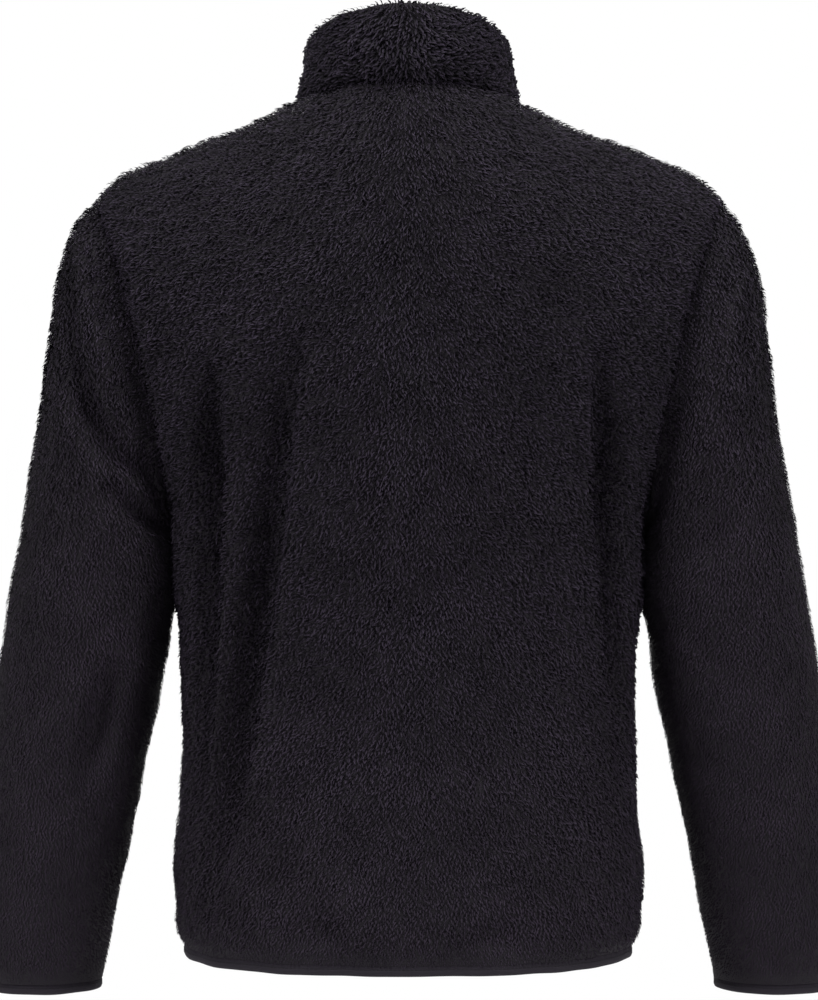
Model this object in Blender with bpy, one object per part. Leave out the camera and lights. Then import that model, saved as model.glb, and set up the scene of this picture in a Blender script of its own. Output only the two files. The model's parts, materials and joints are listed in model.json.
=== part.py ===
"""Deep-pile fleece jacket with a stand collar and a front zip, filled out as it hangs when worn.

Metres, +Z up. The front faces -Y and the wearer's left is +X. The origin is on the body's
centreline, level with the points where the shoulder seams meet the collar. Every outer
surface is measured at the tips of the pile.
"""

import math
from collections import namedtuple

import bmesh
import bpy
import numpy as np
from mathutils import Matrix, Vector

# Cloth
FLEECE_THICKNESS = 0.006
SEAM_GAP = 0.0004
TAPE_THICKNESS = 0.0008

# Main heights
HEM_Z = -0.669
UNDERARM_Z = -0.330

# Half the gap between the front edges, which the zip fills
FRONT_EDGE_X = 0.006

# Columns and rows of each panel's grid
PANEL_COLUMNS = 18
NECK_COLUMNS = 7
ROWS_BELOW_UNDERARM = 12
ROWS_ABOVE_UNDERARM = 13
SLEEVE_ROWS = 22

# The body from the hem to the underarm, a row for each level section
BodySection = namedtuple("BodySection", "z half_width back_depth front_depth squareness")
BODY_SECTIONS = [
    BodySection(-0.669, 0.1800, 0.136, 0.118, 2.40),
    BodySection(-0.660, 0.1848, 0.137, 0.119, 2.40),
    BodySection(-0.636, 0.1866, 0.137, 0.120, 2.40),
    BodySection(-0.615, 0.1885, 0.134, 0.119, 2.40),
    BodySection(-0.556, 0.1838, 0.128, 0.115, 2.40),
    BodySection(-0.476, 0.1818, 0.123, 0.112, 2.40),
    BodySection(-0.404, 0.1838, 0.122, 0.113, 2.40),
    BodySection(-0.330, 0.1870, 0.125, 0.116, 2.40),
]

# The shoulder seam from the neck to the top of the armhole
SeamPoint = namedtuple("SeamPoint", "x y z")
SHOULDER_SEAM = [
    SeamPoint(0.0885, -0.004, 0.0045),
    SeamPoint(0.1180, -0.003, -0.0085),
    SeamPoint(0.1560, -0.002, -0.0245),
    SeamPoint(0.1970, -0.001, -0.0405),
    SeamPoint(0.2340, 0.000, -0.0570),
    SeamPoint(0.2530, 0.000, -0.0745),
]

# The sleeve from the armhole to the cuff: its outer and inner edge seen from behind,
# the middle's place from front to back, and half its depth
SleeveRing = namedtuple("SleeveRing", "outer_x outer_z inner_x inner_z middle_y half_depth")
SLEEVE_RINGS = [
    SleeveRing(0.2530, -0.0745, 0.1870, -0.3300, 0.001, 0.069),
    SleeveRing(0.2715, -0.1040, 0.1880, -0.3370, 0.001, 0.074),
    SleeveRing(0.2830, -0.1420, 0.1885, -0.3450, 0.000, 0.076),
    SleeveRing(0.2895, -0.1930, 0.1887, -0.3560, -0.002, 0.076),
    SleeveRing(0.2975, -0.2550, 0.1886, -0.3730, -0.003, 0.075),
    SleeveRing(0.3073, -0.3160, 0.1886, -0.3970, -0.004, 0.073),
    SleeveRing(0.3168, -0.3760, 0.1910, -0.4280, -0.006, 0.071),
    SleeveRing(0.3275, -0.4400, 0.1968, -0.4650, -0.010, 0.069),
    SleeveRing(0.3375, -0.5100, 0.2090, -0.5190, -0.016, 0.067),
    SleeveRing(0.3455, -0.5780, 0.2215, -0.5800, -0.024, 0.062),
    SleeveRing(0.3490, -0.6400, 0.2350, -0.6410, -0.033, 0.056),
    SleeveRing(0.3485, -0.6860, 0.2440, -0.6860, -0.039, 0.050),
    SleeveRing(0.3445, -0.7045, 0.2475, -0.7040, -0.041, 0.047),
]
ARMHOLE_HALF_DEPTH_BACK = 0.070
ARMHOLE_HALF_DEPTH_FRONT = 0.067
ARMHOLE_BOW = 0.0065

# The yoke curves over toward the neck and shoulder seams, and the blades stand out.
# The neckline's corner is felt this share of the way from the middle to the armhole.
CAP_POWER = 4.2
STAND_OUT = 0.016
NECK_CORNER_SHARE = 0.55

# The neckline's middle, back and front
BACK_NECK_Y, BACK_NECK_Z = 0.084, 0.009
FRONT_NECK_Y, FRONT_NECK_Z = -0.086, -0.040

# The collar from the neck seam to its rim
CollarRing = namedtuple("CollarRing", "rise half_width back_y front_y back_z side_z front_z thickness")
COLLAR_RINGS = [
    CollarRing(0.00, 0.0885, 0.0840, -0.0860, 0.0090, 0.0045, -0.0400, 0.006),
    CollarRing(0.15, 0.0870, 0.0885, -0.0880, 0.0170, 0.0110, -0.0310, 0.009),
    CollarRing(0.42, 0.0845, 0.0885, -0.0870, 0.0340, 0.0255, -0.0140, 0.010),
    CollarRing(0.72, 0.0828, 0.0840, -0.0835, 0.0520, 0.0390, 0.0040, 0.010),
    CollarRing(0.93, 0.0808, 0.0785, -0.0800, 0.0660, 0.0485, 0.0180, 0.008),
    CollarRing(1.00, 0.0775, 0.0745, -0.0765, 0.0705, 0.0515, 0.0220, 0.003),
]

# Folds pressed into or raised from the cloth. Each runs on a curve through three points
# of the view that shows it, across and up, and dies away at its ends. Its two widths are
# those toward the body's middle and toward the side. A push is outward.
Fold = namedtuple("Fold", "view start middle end inner_width outer_width push")
FOLDS = [
    # The back: a drape beside each armhole, and a long one from the left blade to the hem
    Fold("back", (0.152, -0.190), (0.153, -0.320), (0.170, -0.500), 0.015, 0.022, -0.016),
    Fold("back", (-0.146, -0.190), (-0.156, -0.320), (-0.170, -0.480), 0.015, 0.022, -0.015),
    Fold("back", (0.077, -0.190), (0.120, -0.425), (0.170, -0.668), 0.015, 0.030, -0.014),
    Fold("back", (0.066, -0.260), (0.088, -0.440), (0.122, -0.640), 0.026, 0.018, 0.004),
    Fold("back", (-0.093, -0.200), (-0.098, -0.330), (-0.120, -0.520), 0.024, 0.024, -0.004),
    # The armhole seams sink between the back and the sleeves, and the sleeves roll beside them
    Fold("back", (0.257, -0.070), (0.217, -0.195), (0.186, -0.350), 0.015, 0.022, -0.013),
    Fold("back", (-0.257, -0.070), (-0.217, -0.195), (-0.186, -0.350), 0.015, 0.020, -0.011),
    Fold("back", (0.272, -0.130), (0.258, -0.205), (0.225, -0.275), 0.018, 0.020, -0.007),
    Fold("back", (0.248, -0.285), (0.216, -0.312), (0.186, -0.330), 0.018, 0.018, -0.007),
    Fold("back", (0.228, -0.455), (0.241, -0.500), (0.256, -0.548), 0.018, 0.018, -0.005),
    Fold("back", (-0.270, -0.120), (-0.254, -0.170), (-0.236, -0.225), 0.018, 0.018, -0.006),
    # The front, which drapes alike
    Fold("front", (0.148, -0.190), (0.152, -0.320), (0.164, -0.470), 0.015, 0.022, -0.013),
    Fold("front", (-0.149, -0.185), (-0.154, -0.330), (-0.166, -0.490), 0.015, 0.022, -0.013),
    Fold("front", (0.085, -0.300), (0.105, -0.440), (0.135, -0.620), 0.018, 0.028, -0.007),
    Fold("front", (-0.075, -0.220), (-0.100, -0.400), (-0.140, -0.610), 0.016, 0.028, -0.009),
    Fold("front", (0.257, -0.070), (0.217, -0.195), (0.186, -0.350), 0.015, 0.021, -0.011),
    Fold("front", (-0.257, -0.070), (-0.217, -0.195), (-0.186, -0.350), 0.015, 0.021, -0.011),
    Fold("front", (0.270, -0.150), (0.256, -0.220), (0.222, -0.290), 0.018, 0.018, -0.006),
    Fold("front", (-0.268, -0.140), (-0.254, -0.210), (-0.224, -0.300), 0.018, 0.018, -0.006),
    Fold("front", (0.200, -0.452), (0.240, -0.485), (0.292, -0.470), 0.020, 0.020, -0.009),
    Fold("front", (-0.204, -0.440), (-0.245, -0.470), (-0.294, -0.462), 0.020, 0.020, -0.009),
    Fold("front", (0.214, -0.535), (0.250, -0.557), (0.292, -0.537), 0.020, 0.020, -0.006),
    Fold("front", (-0.216, -0.520), (-0.252, -0.543), (-0.294, -0.527), 0.020, 0.020, -0.006),
]
FOLD_STEPS = 24
SEAM_PINCH = 0.0015

# The binding of the hem and cuffs: its section, inward from the pile and down from the edge
BINDING_SECTION = [
    (0.0008, 0.0003),
    (0.0008, 0.0050),
    (0.0020, 0.0072),
    (0.0040, 0.0072),
    (0.0052, 0.0050),
    (0.0052, 0.0003),
]

# The zip, across from the centreline, and in depth from the tape outwards
TAPE_EDGES_X = (0.0010, 0.0075, 0.0150)
TAPE_BELOW_HEM = 0.0068
CHAIN_HALF_WIDTH = 0.0030
CHAIN_DEPTH = 0.0023
CHAIN_SHORTEST_STEP = 0.0040
SLIDER_BELOW_TOP = 0.0010
SLIDER_HALF_WIDTH = 0.0047
SLIDER_LENGTH = 0.0120
SLIDER_PLATE = 0.0012
SLIDER_WEB_HALF_WIDTH = 0.0007
BAIL_HALF_WIDTH = 0.0006
BAIL_REACH = 0.0035
BAIL_ROOT = 0.0004
BAIL_LEG = 0.0010
BAIL_SPAN = 0.0064
BAIL_CORNER = 0.0008
PULL_LENGTH = 0.0360
PULL_HALF_WIDTH = 0.0040
PULL_THICKNESS = 0.0012
PULL_CORNER = 0.0016
PULL_BAR = 0.0012
PULL_EYE_LENGTH = 0.0050
PULL_EYE_HALF_WIDTH = 0.0016
PULL_EYE_CORNER = 0.0005
BOX_HALF_WIDTH = 0.0040
BOX_HEIGHT = 0.0064
BOX_DEPTH = 0.0034
BOX_CORNER = 0.0010
FIT_GAP = 0.0004


def spline(knots, values, at):
    """Values at new places on a smooth curve through the knots."""
    knots, values, at = (np.asarray(a, float) for a in (knots, values, at))
    slope = np.gradient(values, knots)
    i = np.clip(np.searchsorted(knots, at, side="right") - 1, 0, len(knots) - 2)
    step = knots[i + 1] - knots[i]
    t = (at - knots[i]) / step
    rise = 3 * t**2 - 2 * t**3
    lead = t - 2 * t**2 + t**3
    trail = t**3 - t**2
    bend = step * (slope[i] * lead + slope[i + 1] * trail)
    return values[i] * (1 - rise) + values[i + 1] * rise + bend


def column(table, name):
    return [getattr(row, name) for row in table]


def body_section(z):
    heights = column(BODY_SECTIONS, "z")
    return BodySection(z, *(spline(heights, column(BODY_SECTIONS, n), z) for n in BodySection._fields[1:]))


def around_section(section, depth, first_x):
    """Points of a quarter of a level section, from first_x near the middle to the side seam."""
    power = 2 / section.squareness
    start = math.asin((first_x / section.half_width) ** (1 / power))
    angle = np.linspace(start, math.pi / 2, PANEL_COLUMNS + 1)
    across = section.half_width * np.sin(angle) ** power
    deep = depth * np.clip(np.cos(angle), 0, 1) ** power
    return across, deep


def top_edge(neck_y, neck_z, first_x):
    """The neckline from the middle to the shoulder seam, then the shoulder seam to the armhole."""
    neck = SHOULDER_SEAM[0]
    start = math.asin(first_x / neck.x)
    angle = np.linspace(start, math.pi / 2, NECK_COLUMNS + 1)
    neckline = np.stack(
        [
            neck.x * np.sin(angle),
            neck.y + (neck_y - neck.y) * np.cos(angle),
            neck.z + (neck_z - neck.z) * np.cos(angle) ** 1.4,
        ],
        axis=1,
    )
    x = np.linspace(neck.x, SHOULDER_SEAM[-1].x, PANEL_COLUMNS - NECK_COLUMNS + 1)[1:]
    seam = [spline(column(SHOULDER_SEAM, "x"), column(SHOULDER_SEAM, n), x) for n in ("y", "z")]
    return np.concatenate([neckline, np.stack([x, *seam], axis=1)])


def half_panel(back):
    """The left half of the back, or the left front, as rows of points from hem to shoulder."""
    side = 1 if back else -1
    first_x = 0.0 if back else FRONT_EDGE_X
    rows = []
    for z in HEM_Z + (UNDERARM_Z - HEM_Z) * np.linspace(0, 1, ROWS_BELOW_UNDERARM + 1) ** 1.3:
        section = body_section(z)
        depth = section.back_depth if back else section.front_depth
        across, deep = around_section(section, depth, first_x)
        rows.append(np.stack([across, side * deep, np.full_like(across, z)], axis=1))
    base = rows[-1]
    top = top_edge(*((BACK_NECK_Y, BACK_NECK_Z) if back else (FRONT_NECK_Y, FRONT_NECK_Z)), first_x)
    armhole_depth = ARMHOLE_HALF_DEPTH_BACK if back else ARMHOLE_HALF_DEPTH_FRONT
    u = np.linspace(0, 1, PANEL_COLUMNS + 1)
    middle_y = side * (section.back_depth if back else section.front_depth)
    fullness = base[:, 1] / middle_y
    roundness = 1.05 + 0.95 * np.clip(u * PANEL_COLUMNS / NECK_COLUMNS, 0, 1) ** 1.2
    # Below the neck seam the rows forget the neckline's corner.
    shoulder_y = SHOULDER_SEAM[0].y
    corner = np.clip(1 - (u / NECK_CORNER_SHARE) ** 2, 0, 1) ** 2
    soft_y = shoulder_y * (1 - u) + (top[0, 1] - shoulder_y) * corner
    soft_x = first_x + (top[-1, 0] - first_x) * u
    for step in range(1, ROWS_ABOVE_UNDERARM + 1):
        rise = (1 - math.cos(math.pi * step / ROWS_ABOVE_UNDERARM)) / 2
        cap = (1 - rise**CAP_POWER) ** (1 / roundness)
        top_x = soft_x + (top[:, 0] - soft_x) * rise**6
        top_y = soft_y + (top[:, 1] - soft_y) * rise**6
        # The level section at this height, from the middle to the armhole
        edge_y = side * armhole_depth
        if step < ROWS_ABOVE_UNDERARM:
            edge_y *= math.sqrt(4 * rise * (1 - rise) / (1 - rise**CAP_POWER))
        round_part = fullness ** (1 + 0.5 * math.sin(math.pi / 2 * min(rise / 0.6, 1)) ** 2)
        edge_part = (1 - round_part) ** (1 + 5 * math.exp(-rise / 0.08))
        stand = side * STAND_OUT * (1 - u**2) * rise * (1 - rise) ** 2
        level_y = middle_y * round_part + edge_y * edge_part + stand
        x = base[:, 0] + (top_x - base[:, 0]) * rise**1.15 - ARMHOLE_BOW * 4 * rise * (1 - rise) * u**4
        y = top_y + (level_y - top_y) * cap
        z = base[:, 2] + (top[:, 2] - base[:, 2]) * rise
        rows.append(np.stack([x, y, z], axis=1))
    return np.array(rows)


def mirrored(grid):
    """The other side's grid. Its columns run the other way, so that it still faces out."""
    return grid[:, ::-1] * (-1, 1, 1)


def sleeve_grid(front, back):
    """Rings from the armhole to the cuff. The first one is the edge of the front and back."""
    armhole = np.concatenate(
        [front[ROWS_BELOW_UNDERARM:, -1][::-1], back[ROWS_BELOW_UNDERARM:, 0][1:-1]]
    )
    angle = -math.pi * np.arange(2 * ROWS_ABOVE_UNDERARM) / ROWS_ABOVE_UNDERARM
    knots = np.arange(len(SLEEVE_RINGS))
    rings = []
    for at in np.linspace(0, len(SLEEVE_RINGS) - 1, SLEEVE_ROWS + 1):
        ring = SleeveRing(*(spline(knots, column(SLEEVE_RINGS, n), at) for n in SleeveRing._fields))
        centre = np.array([ring.outer_x + ring.inner_x, 2 * ring.middle_y, ring.outer_z + ring.inner_z]) / 2
        outward = np.array([ring.outer_x - ring.inner_x, 0, ring.outer_z - ring.inner_z]) / 2
        deep = np.array([0, ring.half_depth, 0])
        points = centre + np.outer(np.cos(angle), outward) + np.outer(np.sin(angle), deep)
        if not rings:
            armhole_change = armhole - points
        rings.append(points + armhole_change * max(0, 1 - at / 3) ** 2)
    return np.array(rings)


def collar_grid(front, back):
    """Rows from the neck seam to the rim, from the left front edge round the back to the right."""
    seam = np.concatenate(
        [
            front[-1, : NECK_COLUMNS + 1],
            back[-1, PANEL_COLUMNS - NECK_COLUMNS + 1 : PANEL_COLUMNS + NECK_COLUMNS],
            mirrored(front)[-1, -NECK_COLUMNS - 1 :],
        ]
    )
    base, side_y = COLLAR_RINGS[0], SHOULDER_SEAM[0].y
    behind = seam[:, 1] > side_y
    toward_back = (seam[:, 1] - side_y) / np.where(behind, base.back_y - side_y, side_y - base.front_y)
    rows, walls = [], []
    for ring in COLLAR_RINGS:
        # The front edges stay straight above the zip.
        x = seam[:, 0] * ring.half_width / base.half_width
        x = np.where(np.abs(seam[:, 0]) < FRONT_EDGE_X * 1.01, seam[:, 0], x)
        y = side_y + toward_back * np.where(behind, ring.back_y - side_y, side_y - ring.front_y)
        far_z = np.where(behind, ring.back_z, ring.front_z)
        z = ring.side_z + (far_z - ring.side_z) * np.abs(toward_back) ** 1.4
        rows.append(np.stack([x, y, z], axis=1))
        walls.append(ring.thickness)
    rows[0] = seam
    return np.array(rows), np.array(walls)


def faces_of(rows, columns, closed):
    """Quads of a grid whose points are numbered row by row, facing out."""
    quads = []
    for i in range(rows - 1):
        low, high = i * columns, (i + 1) * columns
        for j in range(columns if closed else columns - 1):
            beside = (j + 1) % columns
            quads.append((low + j, low + beside, high + beside, high + j))
    return quads


def place_key(point):
    return tuple(np.round(point, 5) + 0.0)


def shared_normals(grids, closed):
    """Outward directions at every point. Points that two pieces share get one direction."""
    sums = {}
    for name, grid in grids.items():
        points = grid.reshape(-1, 3)
        for a, b, c, d in faces_of(*grid.shape[:2], closed[name]):
            direction = np.cross(points[c] - points[a], points[d] - points[b])
            for corner in (a, b, c, d):
                key = place_key(points[corner])
                sums[key] = sums.get(key, 0) + direction
    normals = {}
    for name, grid in grids.items():
        total = np.array([sums[place_key(p)] for p in grid.reshape(-1, 3)])
        normals[name] = (total / np.linalg.norm(total, axis=1)[:, None]).reshape(grid.shape)
    return normals


def fold_push(fold, points, normals):
    """How far a fold moves each point outward."""
    facing = normals[:, 1] if fold.view == "back" else -normals[:, 1]
    a, b, c = (np.array(p) for p in (fold.start, fold.middle, fold.end))
    bend = 2 * b - (a + c) / 2
    t = np.linspace(0, 1, FOLD_STEPS + 1)[:, None]
    path = a * (1 - t) ** 2 + bend * 2 * t * (1 - t) + c * t**2
    flat = points[:, None, [0, 2]]
    step = np.diff(path, axis=0)
    share = np.clip(((flat - path[:-1]) * step).sum(axis=2) / (step**2).sum(axis=1), 0, 1)
    foot = path[:-1] + share[..., None] * step
    distance = np.linalg.norm(flat - foot, axis=2)
    nearest = distance.argmin(axis=1)
    every = np.arange(len(points))
    along = (nearest + share[every, nearest]) / FOLD_STEPS
    inner = np.abs(points[:, 0]) < np.abs(foot[every, nearest, 0])
    width = np.where(inner, fold.inner_width, fold.outer_width)
    across = distance[every, nearest] / np.clip(facing, 0.4, 1) / width
    fade = np.sin(math.pi * along) ** 0.8
    shown = np.clip((facing + 0.05) / 0.45, 0, 1)
    shown = shown**2 * (3 - 2 * shown)
    return fold.push * fade * shown * (1 - 0.4 * across**2) * np.exp(-(across**2))


def folded(grids, closed):
    """The grids with their folds, and their shared seams drawn in a little."""
    normals = shared_normals(grids, closed)
    counts = {}
    for grid in grids.values():
        for key in {place_key(p) for p in grid.reshape(-1, 3)}:
            counts[key] = counts.get(key, 0) + 1
    shaped = {}
    for name, grid in grids.items():
        points, facing = grid.reshape(-1, 3), normals[name].reshape(-1, 3)
        push = sum(fold_push(fold, points, facing) for fold in FOLDS)
        push = push * (0 if name == "collar" else 1)
        on_seam = np.array([counts[place_key(p)] > 1 for p in points])
        push = push - np.where(on_seam, SEAM_PINCH, 0)
        shaped[name] = (points + facing * push[:, None]).reshape(grid.shape)
    return shaped


def seam_inset(grid, normals, closed):
    """Moves that draw the grid's open edges in by half a seam gap, square to the seam's rim."""
    moves = np.zeros_like(grid)

    def draw(edge, turn, around):
        line, out = grid[edge], normals[edge]
        if around:
            tangent = np.roll(line, -1, axis=0) - np.roll(line, 1, axis=0)
        else:
            tangent = np.gradient(line, axis=0)
        inward = np.cross(out, tangent) * turn
        moves[edge] += inward / np.linalg.norm(inward, axis=1)[:, None] * SEAM_GAP / 2

    draw(np.s_[0, :], 1, closed)
    draw(np.s_[-1, :], -1, closed)
    if not closed:
        draw(np.s_[:, 0], -1, False)
        draw(np.s_[:, -1], 1, False)
    return moves


def edge_loops(rows, columns, closed):
    """The grid's open edges as pairs of point numbers, with the cloth on the left."""
    last = columns if closed else columns - 1
    pairs = [(j, (j + 1) % columns) for j in range(last)]
    top = (rows - 1) * columns
    pairs += [(top + (j + 1) % columns, top + j) for j in range(last)]
    if not closed:
        pairs += [((i + 1) * columns, i * columns) for i in range(rows - 1)]
        pairs += [(i * columns + columns - 1, (i + 1) * columns + columns - 1) for i in range(rows - 1)]
    return pairs


def new_object(name, points, faces, material):
    mesh = bpy.data.meshes.new(name)
    mesh.from_pydata([tuple(p) for p in points], [], faces)
    mesh.update()
    mesh.shade_smooth()
    mesh.set_sharp_from_angle(angle=math.radians(75))
    mesh.materials.append(material)
    obj = bpy.data.objects.new(name, mesh)
    PARTS.objects.link(obj)
    return obj


def cloth_wall(name, outer, inner, normals, closed, material):
    """A closed wall between an outer and an inner grid. Rims of neighbours split the same way."""
    rows, columns = outer.shape[:2]
    count = rows * columns
    keys = [place_key(p) for p in outer.reshape(-1, 3)]
    inset = seam_inset(outer, normals, closed)
    outer, inner = outer + inset, inner + inset
    quads = faces_of(rows, columns, closed)
    faces = quads + [tuple(count + k for k in reversed(q)) for q in quads]
    for a, b in edge_loops(rows, columns, closed):
        if keys[a] < keys[b]:
            faces += [(b, a, count + b), (a, count + a, count + b)]
        else:
            faces += [(b, a, count + a), (b, count + a, count + b)]
    return new_object(name, np.concatenate([outer.reshape(-1, 3), inner.reshape(-1, 3)]), faces, material)


def loft(name, sections, closed, material):
    """A solid through sections with the same number of corners each."""
    sections = np.asarray(sections)
    count, corners = sections.shape[:2]
    faces = []
    for i in range(count if closed else count - 1):
        for j in range(corners):
            k = (j + 1) % corners
            n = (i + 1) % count
            faces.append((i * corners + j, i * corners + k, n * corners + k, n * corners + j))
    if not closed:
        faces.append(tuple(range(corners))[::-1])
        faces.append(tuple((count - 1) * corners + j for j in range(corners)))
    obj = new_object(name, sections.reshape(-1, 3), faces, material)
    work = bmesh.new()
    work.from_mesh(obj.data)
    bmesh.ops.recalc_face_normals(work, faces=work.faces)
    work.to_mesh(obj.data)
    work.free()
    return obj


def binding(name, edge, outward, down, closed, material):
    """A narrow bound edge that follows a panel's edge."""
    sections = [
        [point - out * inward + low * drop for inward, drop in BINDING_SECTION]
        for point, out, low in zip(edge, outward, down)
    ]
    return loft(name, sections, closed, material)


def outline(name, loops, half_thickness, frame, material):
    """A flat piece cut to closed outlines, the later ones holes, as a mesh placed by its frame."""
    curve = bpy.data.curves.new(name, "CURVE")
    curve.dimensions = "2D"
    curve.fill_mode = "BOTH"
    curve.extrude = half_thickness
    for loop in loops:
        path = curve.splines.new("POLY")
        path.points.add(len(loop) - 1)
        for point, (x, y) in zip(path.points, loop):
            point.co = (x, y, 0, 1)
        path.use_cyclic_u = True
    guide = bpy.data.objects.new(name + "_outline", curve)
    bpy.context.scene.collection.objects.link(guide)
    bpy.context.view_layer.update()
    mesh = bpy.data.meshes.new_from_object(guide.evaluated_get(bpy.context.evaluated_depsgraph_get()))
    bpy.data.objects.remove(guide)
    work = bmesh.new()
    work.from_mesh(mesh)
    bmesh.ops.remove_doubles(work, verts=work.verts, dist=0.00001)
    work.to_mesh(mesh)
    work.free()
    mesh.name = name
    mesh.materials.clear()
    mesh.materials.append(material)
    obj = bpy.data.objects.new(name, mesh)
    obj.matrix_world = frame
    PARTS.objects.link(obj)
    return obj


def rounded(half_width, low, high, radius, steps=3):
    """A rectangle with round corners, from low to high and half_width each side."""
    corners = [
        (half_width - radius, high - radius, 0),
        (radius - half_width, high - radius, 90),
        (radius - half_width, low + radius, 180),
        (half_width - radius, low + radius, 270),
    ]
    return [
        (x + radius * math.cos(math.radians(start + 90 * k / steps)),
         y + radius * math.sin(math.radians(start + 90 * k / steps)))
        for x, y, start in corners
        for k in range(steps + 1)
    ]


def united(base, *others):
    """Joins other meshes into the base by Boolean unions, and keeps them as hidden helpers."""
    for other in others:
        PARTS.objects.unlink(other)
        HELPERS.objects.link(other)
        other.hide_render = True
        other.display_type = "WIRE"
        join = base.modifiers.new("Join " + other.name, "BOOLEAN")
        join.operation = "UNION"
        join.object = other


def cloth_material(name, colour, roughness, metallic=0.0):
    material = bpy.data.materials.new(name)
    material.use_nodes = True
    shader = material.node_tree.nodes["Principled BSDF"]
    shader.inputs["Base Color"].default_value = (*colour, 1)
    shader.inputs["Roughness"].default_value = roughness
    shader.inputs["Metallic"].default_value = metallic
    material.diffuse_color = (*colour, 1)
    return material


def front_line(inner, collar_inner, normals, collar_normals):
    """The left front edge from hem to collar rim: inside points, and outward directions."""
    points = np.concatenate([inner[:, 0], collar_inner[1:-1, 0]])
    beside = np.concatenate([inner[:, 1], collar_inner[1:-1, 1]])
    out = np.concatenate([normals[:, 0], collar_normals[1:-1, 0]])
    out[:, 0] = 0
    out /= np.linalg.norm(out, axis=1)[:, None]
    # The tapes reach down behind the hem's binding.
    down = np.array([0, 0, -TAPE_BELOW_HEM])
    points = np.concatenate([[points[0] + down], points])
    beside = np.concatenate([[beside[0] + down], beside])
    return points, beside, np.concatenate([[out[0]], out])


def zip_tape(name, line, side, material):
    """A tape behind the front edge, one thickness of cloth behind the fleece."""
    points, beside, out = line
    front = []
    for x in TAPE_EDGES_X:
        share = max(0.0, (x - FRONT_EDGE_X)) / (beside[:, 0] - points[:, 0])
        place = points + (beside - points) * share[:, None]
        place[:, 0] = x
        front.append(place - out * FIT_GAP)
    front = np.stack(front, axis=1)
    back = front - out[:, None] * TAPE_THICKNESS
    if side < 0:
        front, back = mirrored(front), mirrored(back)
    sections = [[*row_front, *row_back[::-1]] for row_front, row_back in zip(front, back)]
    return loft(name, sections, False, material)


def distances_up(middle):
    """How far each point of the centreline is above its foot, along the line."""
    steps = np.linalg.norm(np.diff(middle, axis=0), axis=1)
    return np.concatenate([[0], np.cumsum(steps)])


def at_distance(middle, distance):
    """A frame on the centreline at a distance above its foot: X across, Y up along it, Z out."""
    along = distances_up(middle)
    i = int(np.clip(np.searchsorted(along, distance) - 1, 0, len(along) - 2))
    up = (middle[i + 1] - middle[i]) / (along[i + 1] - along[i])
    # The frame is level across, so X, the way up and the way out make a right-handed set.
    across = np.array([1.0, 0, 0])
    outward = np.cross(across, up)
    frame = Matrix.Identity(4)
    for k, axis in enumerate((across, up, outward)):
        frame.col[k][:3] = axis
    frame.translation = Vector([np.interp(distance, along, middle[:, k]) for k in range(3)])
    return frame


def zip_chain(middle, out, foot, top, coil):
    """One strip along the tapes in place of the two rows of coil."""
    along = distances_up(middle)
    low_step, high_step = foot + CHAIN_SHORTEST_STEP, top - CHAIN_SHORTEST_STEP
    half = np.array([CHAIN_HALF_WIDTH, 0, 0])
    sections = []
    for distance in [foot, *[a for a in along if low_step < a < high_step], top]:
        point = np.array([np.interp(distance, along, middle[:, k]) for k in range(3)])
        way = np.array([np.interp(distance, along, out[:, k]) for k in range(3)])
        low, high = point + way * FIT_GAP, point + way * (FIT_GAP + CHAIN_DEPTH)
        sections.append([low - half, low + half, high + half, high - half])
    loft("zip_chain", sections, False, coil)


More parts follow.
